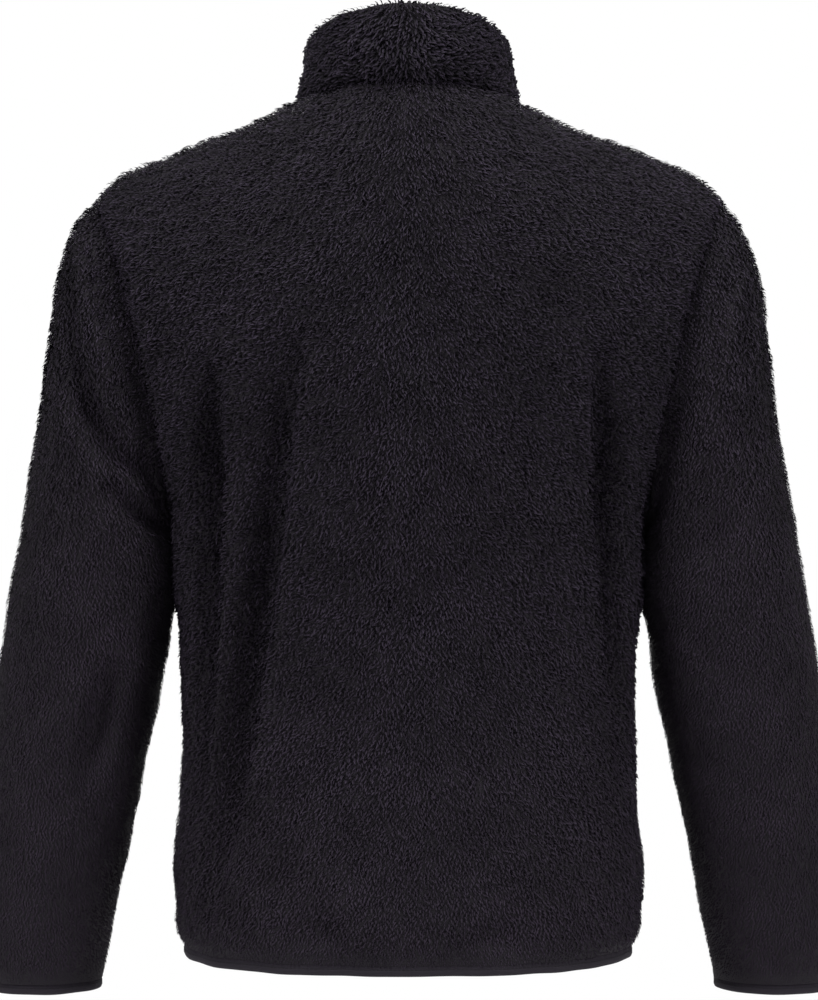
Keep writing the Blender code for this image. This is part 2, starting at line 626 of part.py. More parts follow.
def build_zip(line, tape_cloth, coil, metal):
    points, _, out = line
    middle = points * (0, 1, 1) - out * FIT_GAP
    for name, side in (("zip_tape_left", 1), ("zip_tape_right", -1)):
        zip_tape(name, line, side, tape_cloth)

    # The slider stands at the top of the zip and the box at its foot, with the chain between
    slider_foot = distances_up(middle)[-1] - SLIDER_LENGTH - SLIDER_BELOW_TOP
    zip_chain(middle, out, BOX_HEIGHT + FIT_GAP, slider_foot - FIT_GAP, coil)

    # The slider is two plates and the web between them, with a bail on the front plate
    frame = at_distance(middle, slider_foot + SLIDER_LENGTH / 2)
    front_low = FIT_GAP + CHAIN_DEPTH + FIT_GAP
    front_high = front_low + SLIDER_PLATE
    rear_high = -TAPE_THICKNESS - FIT_GAP
    rear_low = rear_high - SLIDER_PLATE
    wide, web = SLIDER_HALF_WIDTH, SLIDER_WEB_HALF_WIDTH
    profile = [
        (-wide, rear_low), (wide, rear_low), (wide, rear_high), (web, rear_high),
        (web, front_low), (wide, front_low), (wide, front_high), (-wide, front_high),
        (-wide, front_low), (-web, front_low), (-web, rear_high), (-wide, rear_high),
    ]
    ends = [[frame @ Vector((x, y, z)) for x, z in profile] for y in (-SLIDER_LENGTH / 2, SLIDER_LENGTH / 2)]
    slider = loft("zip_slider", ends, False, metal)
    half, root, crown = BAIL_SPAN / 2, -BAIL_ROOT, BAIL_REACH - BAIL_LEG
    bail_loop = [
        (-half, root), (-half + BAIL_LEG, root), (-half + BAIL_LEG, crown),
        (half - BAIL_LEG, crown), (half - BAIL_LEG, root), (half, root),
        (half, BAIL_REACH - BAIL_CORNER), (half - BAIL_CORNER, BAIL_REACH),
        (-half + BAIL_CORNER, BAIL_REACH), (-half, BAIL_REACH - BAIL_CORNER),
    ]
    side_on = Matrix(((0, 0, 1, 0), (1, 0, 0, 0), (0, 1, 0, front_high), (0, 0, 0, 1)))
    bail = outline("bail", [bail_loop], BAIL_HALF_WIDTH, frame @ side_on, metal)
    united(slider, bail)

    # The pull hangs from the bail by its top bar, whose middle is the hinge axis
    hinge = frame @ Matrix.Translation((0, 0, front_high + (BAIL_REACH - BAIL_LEG) / 2))
    eye_top = -PULL_BAR / 2
    body = rounded(PULL_HALF_WIDTH, PULL_BAR / 2 - PULL_LENGTH, PULL_BAR / 2, PULL_CORNER)
    eye = rounded(PULL_EYE_HALF_WIDTH, eye_top - PULL_EYE_LENGTH, eye_top, PULL_EYE_CORNER, 2)
    outline("zip_pull", [body, eye], PULL_THICKNESS / 2, hinge, metal)

    # The box joins the tapes' feet
    foot = at_distance(middle, BOX_HEIGHT / 2)
    box_frame = foot @ Matrix.Translation((0, 0, FIT_GAP + BOX_DEPTH / 2))
    box_face = rounded(BOX_HALF_WIDTH, -BOX_HEIGHT / 2, BOX_HEIGHT / 2, BOX_CORNER)
    outline("zip_box", [box_face], BOX_DEPTH / 2, box_frame, metal)


def build_jacket():
    half_back, front_left = half_panel(back=True), half_panel(back=False)
    back = np.concatenate([half_back[:, ::-1], mirrored(half_back[:, ::-1])[:, 1:]], axis=1)
    sleeve_left = sleeve_grid(front_left, back)
    collar, collar_walls = collar_grid(front_left, back)
    grids = {
        "back": back,
        "front_left": front_left,
        "front_right": mirrored(front_left),
        "sleeve_left": sleeve_left,
        "sleeve_right": mirrored(sleeve_left),
        "collar": collar,
    }
    closed = {name: name.startswith("sleeve") for name in grids}
    grids = folded(grids, closed)
    normals = shared_normals(grids, closed)
    walls = {name: np.full(grid.shape[0], FLEECE_THICKNESS) for name, grid in grids.items()}
    walls["collar"] = collar_walls
    inner = {name: grids[name] - normals[name] * walls[name][:, None, None] for name in grids}

    fleece = cloth_material("black_pile_fleece", (0.0150, 0.0135, 0.0170), 0.95)
    knit = cloth_material("black_stretch_binding", (0.0100, 0.0095, 0.0110), 0.80)
    tape_cloth = cloth_material("black_zip_tape", (0.0090, 0.0085, 0.0095), 0.75)
    coil = cloth_material("black_nylon_coil", (0.0080, 0.0080, 0.0085), 0.35)
    metal = cloth_material("black_painted_zinc", (0.0200, 0.0200, 0.0210), 0.35, 0.6)

    for name in grids:
        cloth_wall(name, grids[name], inner[name], normals[name], closed[name], fleece)

    # The hem's binding runs from one front edge round the back to the other
    hem_points, hem_out = (
        np.concatenate([part["front_left"][0], part["back"][0, 1:], part["front_right"][0, 1:]])
        for part in (grids, normals)
    )
    hem_out = hem_out * (1, 1, 0)
    hem_out /= np.linalg.norm(hem_out, axis=1)[:, None]
    binding("hem_binding", hem_points, hem_out, np.tile([0, 0, -1.0], (len(hem_points), 1)), False, knit)
    for name in ("sleeve_left", "sleeve_right"):
        cuff, out = grids[name][-1], normals[name][-1]
        spokes = cuff - cuff.mean(axis=0)
        around = np.roll(cuff, -1, axis=0) - np.roll(cuff, 1, axis=0)
        down = np.cross(spokes, around).sum(axis=0)
        down *= -np.sign(down[2]) / np.linalg.norm(down)
        out = out - np.outer(out @ down, down)
        out /= np.linalg.norm(out, axis=1)[:, None]
        binding(name.replace("sleeve", "cuff_binding"), cuff, out, np.tile(down, (len(cuff), 1)), True, knit)

    line = front_line(inner["front_left"], inner["collar"], normals["front_left"], normals["collar"])
    build_zip(line, tape_cloth, coil, metal)


for leftover in list(bpy.data.objects):
    bpy.data.objects.remove(leftover)
PARTS = bpy.data.collections.new("fleece_jacket")
HELPERS = bpy.data.collections.new("helpers")
for collection in (PARTS, HELPERS):
    bpy.context.scene.collection.children.link(collection)
build_jacket()
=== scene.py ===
"""The looks of the deep-pile fleece jacket: ground cloth, pile, bound edges and zip.

Metres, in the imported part's own frame: +Z up, the front toward -Y, the wearer's left toward +X.
The cloth repeats the named sizes of the part's source on a finer grid. Each panel is a thin
ground cloth, and its pile is laid on it lock by lock, so the tips reach the solid's surface.
"""

import json
import math
from collections import namedtuple
from functools import partial

import bmesh
import bpy
import numpy as np
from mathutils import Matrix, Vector

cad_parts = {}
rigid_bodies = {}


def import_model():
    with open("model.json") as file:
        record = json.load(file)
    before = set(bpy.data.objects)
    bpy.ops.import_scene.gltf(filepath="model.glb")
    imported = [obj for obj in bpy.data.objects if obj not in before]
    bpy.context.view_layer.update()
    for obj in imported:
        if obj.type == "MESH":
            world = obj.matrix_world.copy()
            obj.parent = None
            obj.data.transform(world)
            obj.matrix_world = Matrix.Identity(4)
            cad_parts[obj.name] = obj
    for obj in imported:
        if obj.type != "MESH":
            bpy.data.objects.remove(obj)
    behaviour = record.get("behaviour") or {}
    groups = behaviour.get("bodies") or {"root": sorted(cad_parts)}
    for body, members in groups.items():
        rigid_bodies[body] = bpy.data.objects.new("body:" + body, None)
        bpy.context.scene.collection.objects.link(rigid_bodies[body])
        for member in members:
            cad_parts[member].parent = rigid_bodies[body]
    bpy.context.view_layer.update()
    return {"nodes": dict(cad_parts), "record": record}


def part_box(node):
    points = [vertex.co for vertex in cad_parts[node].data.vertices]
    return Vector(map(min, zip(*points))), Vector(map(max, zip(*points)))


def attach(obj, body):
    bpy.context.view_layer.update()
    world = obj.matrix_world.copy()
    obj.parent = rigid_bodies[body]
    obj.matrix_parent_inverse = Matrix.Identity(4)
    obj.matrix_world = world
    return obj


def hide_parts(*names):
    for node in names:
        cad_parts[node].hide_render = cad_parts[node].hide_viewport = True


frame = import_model()
MM = 0.001

# Main heights
HEM_Z = -0.669
UNDERARM_Z = -0.330

# Half the gap between the front edges, which the zip fills
FRONT_EDGE_X = 0.006

# Columns and rows of each panel's grid
PANEL_COLUMNS = 54
NECK_COLUMNS = 21
ROWS_BELOW_UNDERARM = 26
ROWS_ABOVE_UNDERARM = 32
SLEEVE_ROWS = 46
LOW_ROWS_POWER = 1.3

# Cloth: the depth of the pile, and where the ground's inside is, from the tips
FLEECE_THICKNESS = 0.006
PILE_DEPTH = 0.0042
CALM_PILE_DEPTH = 0.0030
GROUND_DEPTH = 0.0039
CALM_GROUND_DEPTH = 0.0018
COLLAR_GROUND = 0.0010
COLLAR_CORE = 0.0026
COLLAR_RIM_ROUND = 0.0056
SEAM_GAP = 0.0003

# How far the seams draw the cloth in
ARMHOLE_PINCH = 0.0036
ARMHOLE_FADE_Z = (-0.150, -0.080)
NECK_PINCH = 0.0014
SIDE_PINCH = 0.0014
SHOULDER_PINCH = 0.0036

# Below the underarm the sleeve and the side of the body swell until they touch
TOUCH_Z = -0.366
TOUCH_HALF_HEIGHT = 0.042
TOUCH_X = 0.1875
TOUCH_HALF_WIDTH = 0.012
TOUCH_PUSH = 0.0058

# The body from the hem to the underarm, a row for each level section
BodySection = namedtuple("BodySection", "z half_width back_depth front_depth squareness")
BODY_SECTIONS = [
    BodySection(-0.669, 0.1800, 0.136, 0.118, 2.40),
    BodySection(-0.660, 0.1848, 0.137, 0.119, 2.40),
    BodySection(-0.636, 0.1866, 0.137, 0.120, 2.40),
    BodySection(-0.615, 0.1885, 0.134, 0.119, 2.40),
    BodySection(-0.556, 0.1838, 0.128, 0.115, 2.40),
    BodySection(-0.476, 0.1818, 0.123, 0.112, 2.40),
    BodySection(-0.404, 0.1838, 0.122, 0.113, 2.40),
    BodySection(-0.330, 0.1870, 0.125, 0.116, 2.40),
]

# The shoulder seam from the neck to the top of the armhole
SeamPoint = namedtuple("SeamPoint", "x y z")
SHOULDER_SEAM = [
    SeamPoint(0.0885, -0.004, 0.0045),
    SeamPoint(0.1180, -0.003, -0.0100),
    SeamPoint(0.1560, -0.002, -0.0252),
    SeamPoint(0.1970, -0.001, -0.0405),
    SeamPoint(0.2340, 0.000, -0.0570),
    SeamPoint(0.2530, 0.000, -0.0745),
]

# The sleeve from the armhole to the cuff: its outer and inner edge seen from behind,
# the middle's place from front to back, and half its depth
SleeveRing = namedtuple("SleeveRing", "outer_x outer_z inner_x inner_z middle_y half_depth")
SLEEVE_RINGS = [
    SleeveRing(0.2530, -0.0745, 0.1870, -0.3300, 0.001, 0.069),
    SleeveRing(0.2715, -0.1040, 0.1880, -0.3370, 0.001, 0.074),
    SleeveRing(0.2830, -0.1420, 0.1885, -0.3450, 0.000, 0.076),
    SleeveRing(0.2895, -0.1930, 0.1887, -0.3560, -0.002, 0.076),
    SleeveRing(0.2975, -0.2550, 0.1886, -0.3730, -0.003, 0.075),
    SleeveRing(0.3080, -0.3160, 0.1886, -0.3970, -0.004, 0.073),
    SleeveRing(0.3180, -0.3760, 0.1910, -0.4280, -0.006, 0.071),
    SleeveRing(0.3285, -0.4400, 0.1968, -0.4650, -0.010, 0.069),
    SleeveRing(0.3375, -0.5100, 0.2090, -0.5190, -0.016, 0.067),
    SleeveRing(0.3455, -0.5780, 0.2215, -0.5800, -0.024, 0.062),
    SleeveRing(0.3490, -0.6400, 0.2350, -0.6410, -0.033, 0.056),
    SleeveRing(0.3485, -0.6860, 0.2440, -0.6860, -0.039, 0.050),
    SleeveRing(0.3445, -0.7045, 0.2475, -0.7040, -0.041, 0.047),
]
ARMHOLE_HALF_DEPTH_BACK = 0.070
ARMHOLE_HALF_DEPTH_FRONT = 0.067
ARMHOLE_BOW = 0.0065
ARMHOLE_BLEND_RINGS = 3

# The yoke curves over toward the neck and shoulder seams, and the blades stand out
CAP_POWER = 4.2
STAND_OUT = 0.016
MIDDLE_ROUNDNESS, ADDED_ROUNDNESS, ROUNDNESS_POWER = 1.05, 0.95, 1.2
TOP_PULL_POWER = 6
SIDE_LEAN_POWER = 1.15
FULL_RISE, FULL_ADDED = 0.6, 0.5
FLAT_EDGE_RISE, FLAT_EDGE_ADDED = 0.08, 5

# The neckline's middle, back and front, and the share of the width under its soft corner
BACK_NECK_Y, BACK_NECK_Z = 0.084, 0.009
FRONT_NECK_Y, FRONT_NECK_Z = -0.086, -0.040
NECKLINE_POWER = 1.4
NECK_CORNER_SHARE = 0.55

# The collar from the neck seam to its rim
CollarRing = namedtuple("CollarRing", "rise half_width back_y front_y back_z side_z front_z thickness")
COLLAR_RINGS = [
    CollarRing(0.00, 0.0885, 0.0840, -0.0860, 0.0090, 0.0045, -0.0400, 0.006),
    CollarRing(0.15, 0.0870, 0.0885, -0.0880, 0.0170, 0.0110, -0.0310, 0.009),
    CollarRing(0.42, 0.0845, 0.0885, -0.0870, 0.0340, 0.0255, -0.0140, 0.010),
    CollarRing(0.72, 0.0828, 0.0840, -0.0835, 0.0520, 0.0390, 0.0040, 0.010),
    CollarRing(0.93, 0.0808, 0.0785, -0.0800, 0.0660, 0.0485, 0.0180, 0.008),
    CollarRing(1.00, 0.0775, 0.0745, -0.0765, 0.0705, 0.0515, 0.0220, 0.003),
]
COLLAR_TOP_RISE = 0.93
COLLAR_ROWS = 15
RIM_ROWS = 4

# Creases pressed into or raised from the cloth. Each runs on a curve through three points
# of the view that shows it, across and up, and dies away at its ends. Its two widths are
# those toward the body's middle and toward the side. A push is outward.
Fold = namedtuple("Fold", "view start middle end inner_width outer_width push")
FOLDS = [
    # The back: a drape beside each armhole, and a long one from the left blade to the hem
    Fold("back", (0.150, -0.200), (0.153, -0.345), (0.168, -0.580), 0.008, 0.020, -0.021),
    Fold("back", (-0.146, -0.200), (-0.154, -0.340), (-0.170, -0.540), 0.008, 0.020, -0.021),
    Fold("back", (0.084, -0.185), (0.117, -0.430), (0.162, -0.664), 0.008, 0.030, -0.025),
    Fold("back", (0.078, -0.260), (0.100, -0.440), (0.132, -0.640), 0.026, 0.014, 0.004),
    Fold("back", (0.125, -0.200), (0.133, -0.340), (0.146, -0.460), 0.014, 0.014, 0.004),
    Fold("back", (-0.093, -0.200), (-0.096, -0.290), (-0.104, -0.400), 0.020, 0.016, -0.004),
    Fold("back", (-0.108, -0.380), (-0.114, -0.440), (-0.122, -0.520), 0.018, 0.014, -0.004),
    Fold("back", (0.024, -0.230), (0.028, -0.340), (0.022, -0.430), 0.018, 0.018, -0.003),
    Fold("back", (-0.030, -0.230), (-0.026, -0.340), (-0.032, -0.430), 0.018, 0.018, -0.003),
    Fold("back", (0.0, -0.060), (0.0, -0.150), (0.0, -0.270), 0.034, 0.034, -0.006),
    Fold("back", (0.052, -0.652), (0.073, -0.640), (0.100, -0.656), 0.016, 0.016, -0.004),
    Fold("back", (-0.050, -0.655), (-0.070, -0.644), (-0.096, -0.657), 0.016, 0.016, -0.004),
    # The armhole seams sink between the back and the sleeves, and the sleeves roll beside them
    Fold("back", (0.257, -0.070), (0.217, -0.195), (0.186, -0.350), 0.009, 0.024, -0.013),
    Fold("back", (-0.257, -0.070), (-0.217, -0.195), (-0.186, -0.350), 0.009, 0.022, -0.012),
    Fold("back", (0.262, -0.080), (0.240, -0.190), (0.192, -0.280), 0.013, 0.012, 0.005),
    Fold("back", (0.273, -0.130), (0.250, -0.243), (0.186, -0.294), 0.008, 0.016, -0.016),
    Fold("back", (0.238, -0.298), (0.212, -0.320), (0.186, -0.342), 0.013, 0.013, -0.011),
    Fold("back", (0.228, -0.440), (0.241, -0.490), (0.256, -0.545), 0.014, 0.014, -0.014),
    Fold("back", (-0.266, -0.110), (-0.248, -0.160), (-0.232, -0.215), 0.012, 0.012, -0.008),
    Fold("back", (-0.277, -0.135), (-0.268, -0.180), (-0.256, -0.230), 0.012, 0.012, -0.004),
    Fold("back", (-0.262, -0.330), (-0.238, -0.345), (-0.205, -0.352), 0.016, 0.016, -0.004),
    # The front, which drapes alike
    Fold("front", (0.148, -0.190), (0.152, -0.320), (0.164, -0.470), 0.011, 0.020, -0.013),
    Fold("front", (-0.149, -0.185), (-0.154, -0.330), (-0.166, -0.490), 0.011, 0.020, -0.013),
    Fold("front", (0.085, -0.300), (0.105, -0.440), (0.135, -0.620), 0.012, 0.026, -0.008),
    Fold("front", (-0.075, -0.220), (-0.100, -0.400), (-0.140, -0.610), 0.012, 0.026, -0.010),
    Fold("front", (0.257, -0.070), (0.217, -0.195), (0.186, -0.350), 0.010, 0.021, -0.011),
    Fold("front", (-0.257, -0.070), (-0.217, -0.195), (-0.186, -0.350), 0.010, 0.021, -0.011),
    Fold("front", (0.270, -0.150), (0.256, -0.220), (0.222, -0.290), 0.013, 0.014, -0.007),
    Fold("front", (-0.268, -0.140), (-0.254, -0.210), (-0.224, -0.300), 0.013, 0.014, -0.007),
    Fold("front", (0.200, -0.452), (0.240, -0.485), (0.292, -0.470), 0.016, 0.016, -0.009),
    Fold("front", (-0.204, -0.440), (-0.245, -0.470), (-0.294, -0.462), 0.016, 0.016, -0.009),
    Fold("front", (0.214, -0.535), (0.250, -0.557), (0.292, -0.537), 0.016, 0.016, -0.006),
    Fold("front", (-0.216, -0.520), (-0.252, -0.543), (-0.294, -0.527), 0.016, 0.016, -0.006),
]
FOLD_STEPS = 24
FOLD_FADE_POWER = 0.65
FOLD_LIP = 0.4
LEAST_FACING = 0.4
FOLD_EDGE_ON = -0.05
FOLD_FULL_ON = 0.40

# How far the cloth wanders between its creases, and the lengths of its waves
UNEVEN_SLOW = 0.0011
UNEVEN_QUICK = 0.0005
WaveLengths = namedtuple("WaveLengths", "across across_sway up up_sway deep")
SLOW_WAVES = WaveLengths(0.083, 0.171, 0.117, 0.093, 0.140)
QUICK_WAVES = WaveLengths(0.041, 0.067, 0.053, 0.041, 0.060)
SLOW_SWAYS = (1.2, 0.9)
QUICK_SWAYS = (1.1, 0.0)

# The way the pile is combed on the body: degrees from straight down toward the side
NapTurn = namedtuple("NapTurn", "z degrees")
NAP_TURNS = [
    NapTurn(-0.680, 14),
    NapTurn(-0.500, 34),
    NapTurn(-0.350, 48),
    NapTurn(-0.220, 58),
    NapTurn(-0.120, 68),
    NapTurn(-0.050, 78),
    NapTurn(0.020, 86),
]
BODY_NAP_MIDDLE = 0.06
COLLAR_NAP_MIDDLE = 0.030
SLEEVE_NAP_DEGREES = 12.0
COLLAR_NAP_DEGREES = 84.0

# How calm the pile lies at each height, from 0 where it is lively to 1 where it is smooth
CalmAt = namedtuple("CalmAt", "z calm")
BODY_CALM = [
    CalmAt(-0.680, 0.60),
    CalmAt(-0.560, 0.38),
    CalmAt(-0.400, 0.15),
    CalmAt(-0.200, 0.00),
]
SLEEVE_CALM = [
    CalmAt(-0.700, 1.00),
    CalmAt(-0.600, 0.85),
    CalmAt(-0.450, 0.70),
    CalmAt(-0.330, 0.50),
    CalmAt(-0.200, 0.10),
    CalmAt(-0.080, 0.00),
]

# How large the locks are: on the body, on the collar's rim, beside the zip, at the bound
# edges and where the pile is calm, against those of the collar
BODY_REACH = 0.96
RIM_REACH = 0.75
ZIP_REACH = 0.6
EDGE_REACH = 0.6
CALM_REACH = 0.80
RIM_SPREAD_ROWS = 4
BESIDE_ZIP = 0.006
EDGE_WIDTH = 0.012

# The locks of the pile, in millimetres: points along each, with its lift from the ground,
# its drift to one side and half its width. The last point is the tip.
LockPoint = namedtuple("LockPoint", "along lift aside half_width")
BODY_LOCKS = {
    "lock_a": [LockPoint(0, -0.4, 0, 0.76), LockPoint(2.1, 2.8, 0.1, 0.88), LockPoint(5.1, 3.3, 0.4, 0)],
    "lock_b": [LockPoint(0, -0.4, 0, 0.70), LockPoint(2.4, 3.0, -0.3, 0.84), LockPoint(5.5, 2.9, -1.1, 0)],
    "lock_c": [LockPoint(0, -0.4, 0, 0.76), LockPoint(1.8, 3.0, 0.3, 0.88), LockPoint(4.4, 3.7, 1.3, 0)],
    "lock_d": [LockPoint(0, -0.4, 0, 0.66), LockPoint(2.2, 2.9, -0.1, 0.76), LockPoint(5.3, 3.9, 0.1, 0)],
}
COLLAR_LOCKS = {
    "tuft_a": [
        LockPoint(0, -0.4, 0, 0.80),
        LockPoint(1.8, 2.6, 0.1, 1.00),
        LockPoint(4.2, 3.4, 0.6, 0.85),
        LockPoint(6.0, 2.8, 0.5, 0),
    ],
    "tuft_b": [
        LockPoint(0, -0.4, 0, 0.75),
        LockPoint(2.0, 2.7, -0.3, 0.95),
        LockPoint(4.2, 3.4, -1.0, 0.80),
        LockPoint(5.8, 3.3, -0.8, 0),
    ],
    "tuft_c": [
        LockPoint(0, -0.4, 0, 0.75),
        LockPoint(1.6, 2.9, 0.1, 0.95),
        LockPoint(3.6, 3.9, -0.3, 0.80),
        LockPoint(5.2, 3.8, -1.0, 0),
    ],
}
BODY_LOCK_SPACING = 0.00172
COLLAR_LOCK_SPACING = 0.00165
PILE_DENSITY = 900000.0

# How the locks part from their nap, in radians: in swirls about 11 mm wide, and each by itself
# about its three axes. Their sizes vary too, and clumps about 8 mm wide stand higher.
BODY_SWIRL = 0.6
COLLAR_SWIRL = 0.8
SWIRL_SCALE = 90.0
STRAY = (0.18, 0.5, 0.4)
CALM_STRAY = 0.3
LEAST_LOCK, LARGEST_LOCK = (0.75, 0.75, 0.75), (1.25, 1.2, 1.1)
CLUMP_SCALE = 130.0
LEAST_CLUMP, LARGEST_CLUMP = 0.45, 1.35

# The binding of the hem and cuffs, in millimetres: its folded section, inward from the
# pile's tips and down from the cloth's edge
BINDING_SECTION = [
    (3.6, -4.0),
    (2.8, 0.5),
    (1.9, 2.6),
    (1.8, 5.2),
    (2.5, 7.0),
    (3.9, 7.5),
    (5.2, 7.0),
    (6.6, 5.0),
    (7.0, 2.0),
    (6.9, -4.0),
    (6.2, -4.0),
    (6.1, 0.2),
    (4.3, 0.2),
    (4.2, -4.0),
]

# A bar of thread or coil, in metres, across, along and out from the line that it is set on.
# Its rings lie at shares of its length, each with its share of the full thickness.
Bar = namedtuple("Bar", "start end width height")
BAR_SIDES = 6
BAR_RINGS = [(0.0, 0.45), (0.12, 1.0), (0.88, 1.0), (1.0, 0.45)]
STITCH_PITCH = 0.0032
STITCH_PLACE = (2.0, 2.2)
STITCH_BARS = [Bar((0, -0.0011, 0), (0, 0.0011, 0), 0.0005, 0.0004)]

# The knits' loops, in metres: how far apart they are across and up the cloth
KnitLoop = namedtuple("KnitLoop", "wale course")
REVERSE_LOOP = KnitLoop(0.0014, 0.0012)
RIBBED_LOOP = KnitLoop(0.0010, 0.0008)

# The zip, across from the centreline, and in depth from the tape outwards
TAPE_EDGES_X = (0.0002, 0.0034, 0.0044, 0.0075, 0.0115, 0.0150)
TAPE_RISES = (0.0002, 0.0002, 0, 0, 0, 0)
TAPE_THICKNESS = 0.0008
TAPE_BELOW_HEM = 0.0068
FIT_GAP = 0.0004
COIL_END_GAP = 0.0004
COIL_PITCH = 0.0015
COIL_LIFT = 0.00145
COIL_BARS = [
    Bar((-0.0030, 0, 0), (0.0006, 0, 0), 0.0007, 0.0019),
    Bar((-0.0006, 0.00075, 0), (0.0030, 0.00075, 0), 0.0007, 0.0019),
]
METAL_EDGE = 0.00025
NYLON_EDGE = 0.0004

# From these angles up, corners stay sharp on the cloth and are rounded on the hard pieces
CLOTH_SHARP_DEGREES = 70
EDGE_DEGREES, EDGE_STEPS = 35, 3
WELD_WITHIN, FLAT_DEGREES = 0.00001, 1

# The camera, which stands behind the jacket, and the studio
CAMERA_PLACE = (-0.00056, 2.4, -0.316)
LENS_MM, SENSOR_MM = 108, 36
Softbox = namedtuple("Softbox", "name place target size watts")
SOFTBOXES = [
    Softbox("left softbox", (2.1, 1.7, 0.9), (0, 0, -0.3), 0.8, 57),
    Softbox("right softbox", (-2.1, 1.7, 0.9), (0, 0, -0.3), 0.8, 57),
    Softbox("top softbox", (0, 0.5, 2.4), (0, 0, -0.2), 0.9, 83),
    Softbox("left front softbox", (0.7, -2.5, 1.0), (0, 0, -0.3), 0.9, 30),
    Softbox("right front softbox", (-0.7, -2.5, 1.0), (0, 0, -0.3), 0.9, 30),
]
FILL_STRENGTH = 0.36
FLOOR_Z = -1.47
FLOOR_RADIUS = 4


def spline(knots, values, at):
    """Values at new places on a smooth curve through the knots."""
    knots, values, at = (np.asarray(a, float) for a in (knots, values, at))
    slope = np.gradient(values, knots)
    i = np.clip(np.searchsorted(knots, at, side="right") - 1, 0, len(knots) - 2)
    step = knots[i + 1] - knots[i]
    t = (at - knots[i]) / step
    rise = 3 * t**2 - 2 * t**3
    lead = t - 2 * t**2 + t**3
    trail = t**3 - t**2
    bend = step * (slope[i] * lead + slope[i + 1] * trail)
    return values[i] * (1 - rise) + values[i + 1] * rise + bend


def column(table, name):
    return [getattr(row, name) for row in table]


def unit(vectors):
    return vectors / np.maximum(np.linalg.norm(vectors, axis=-1, keepdims=True), 1e-12)


def body_section(z):
    heights = column(BODY_SECTIONS, "z")
    return BodySection(z, *(spline(heights, column(BODY_SECTIONS, n), z) for n in BodySection._fields[1:]))


def around_section(section, depth, first_x):
    """Points of a quarter of a level section, from first_x near the middle to the side seam."""
    power = 2 / section.squareness
    start = math.asin((first_x / section.half_width) ** (1 / power))
    angle = np.linspace(start, math.pi / 2, PANEL_COLUMNS + 1)
    across = section.half_width * np.sin(angle) ** power
    deep = depth * np.clip(np.cos(angle), 0, 1) ** power
    return across, deep


def top_edge(neck_y, neck_z, first_x):
    """The neckline from the middle to the shoulder seam, then the shoulder seam to the armhole."""
    neck = SHOULDER_SEAM[0]
    start = math.asin(first_x / neck.x)
    angle = np.linspace(start, math.pi / 2, NECK_COLUMNS + 1)
    neckline = np.stack(
        [
            neck.x * np.sin(angle),
            neck.y + (neck_y - neck.y) * np.cos(angle),
            neck.z + (neck_z - neck.z) * np.cos(angle).clip(0) ** NECKLINE_POWER,
        ],
        axis=1,
    )
    x = np.linspace(neck.x, SHOULDER_SEAM[-1].x, PANEL_COLUMNS - NECK_COLUMNS + 1)[1:]
    seam = [spline(column(SHOULDER_SEAM, "x"), column(SHOULDER_SEAM, n), x) for n in ("y", "z")]
    return np.concatenate([neckline, np.stack([x, *seam], axis=1)])


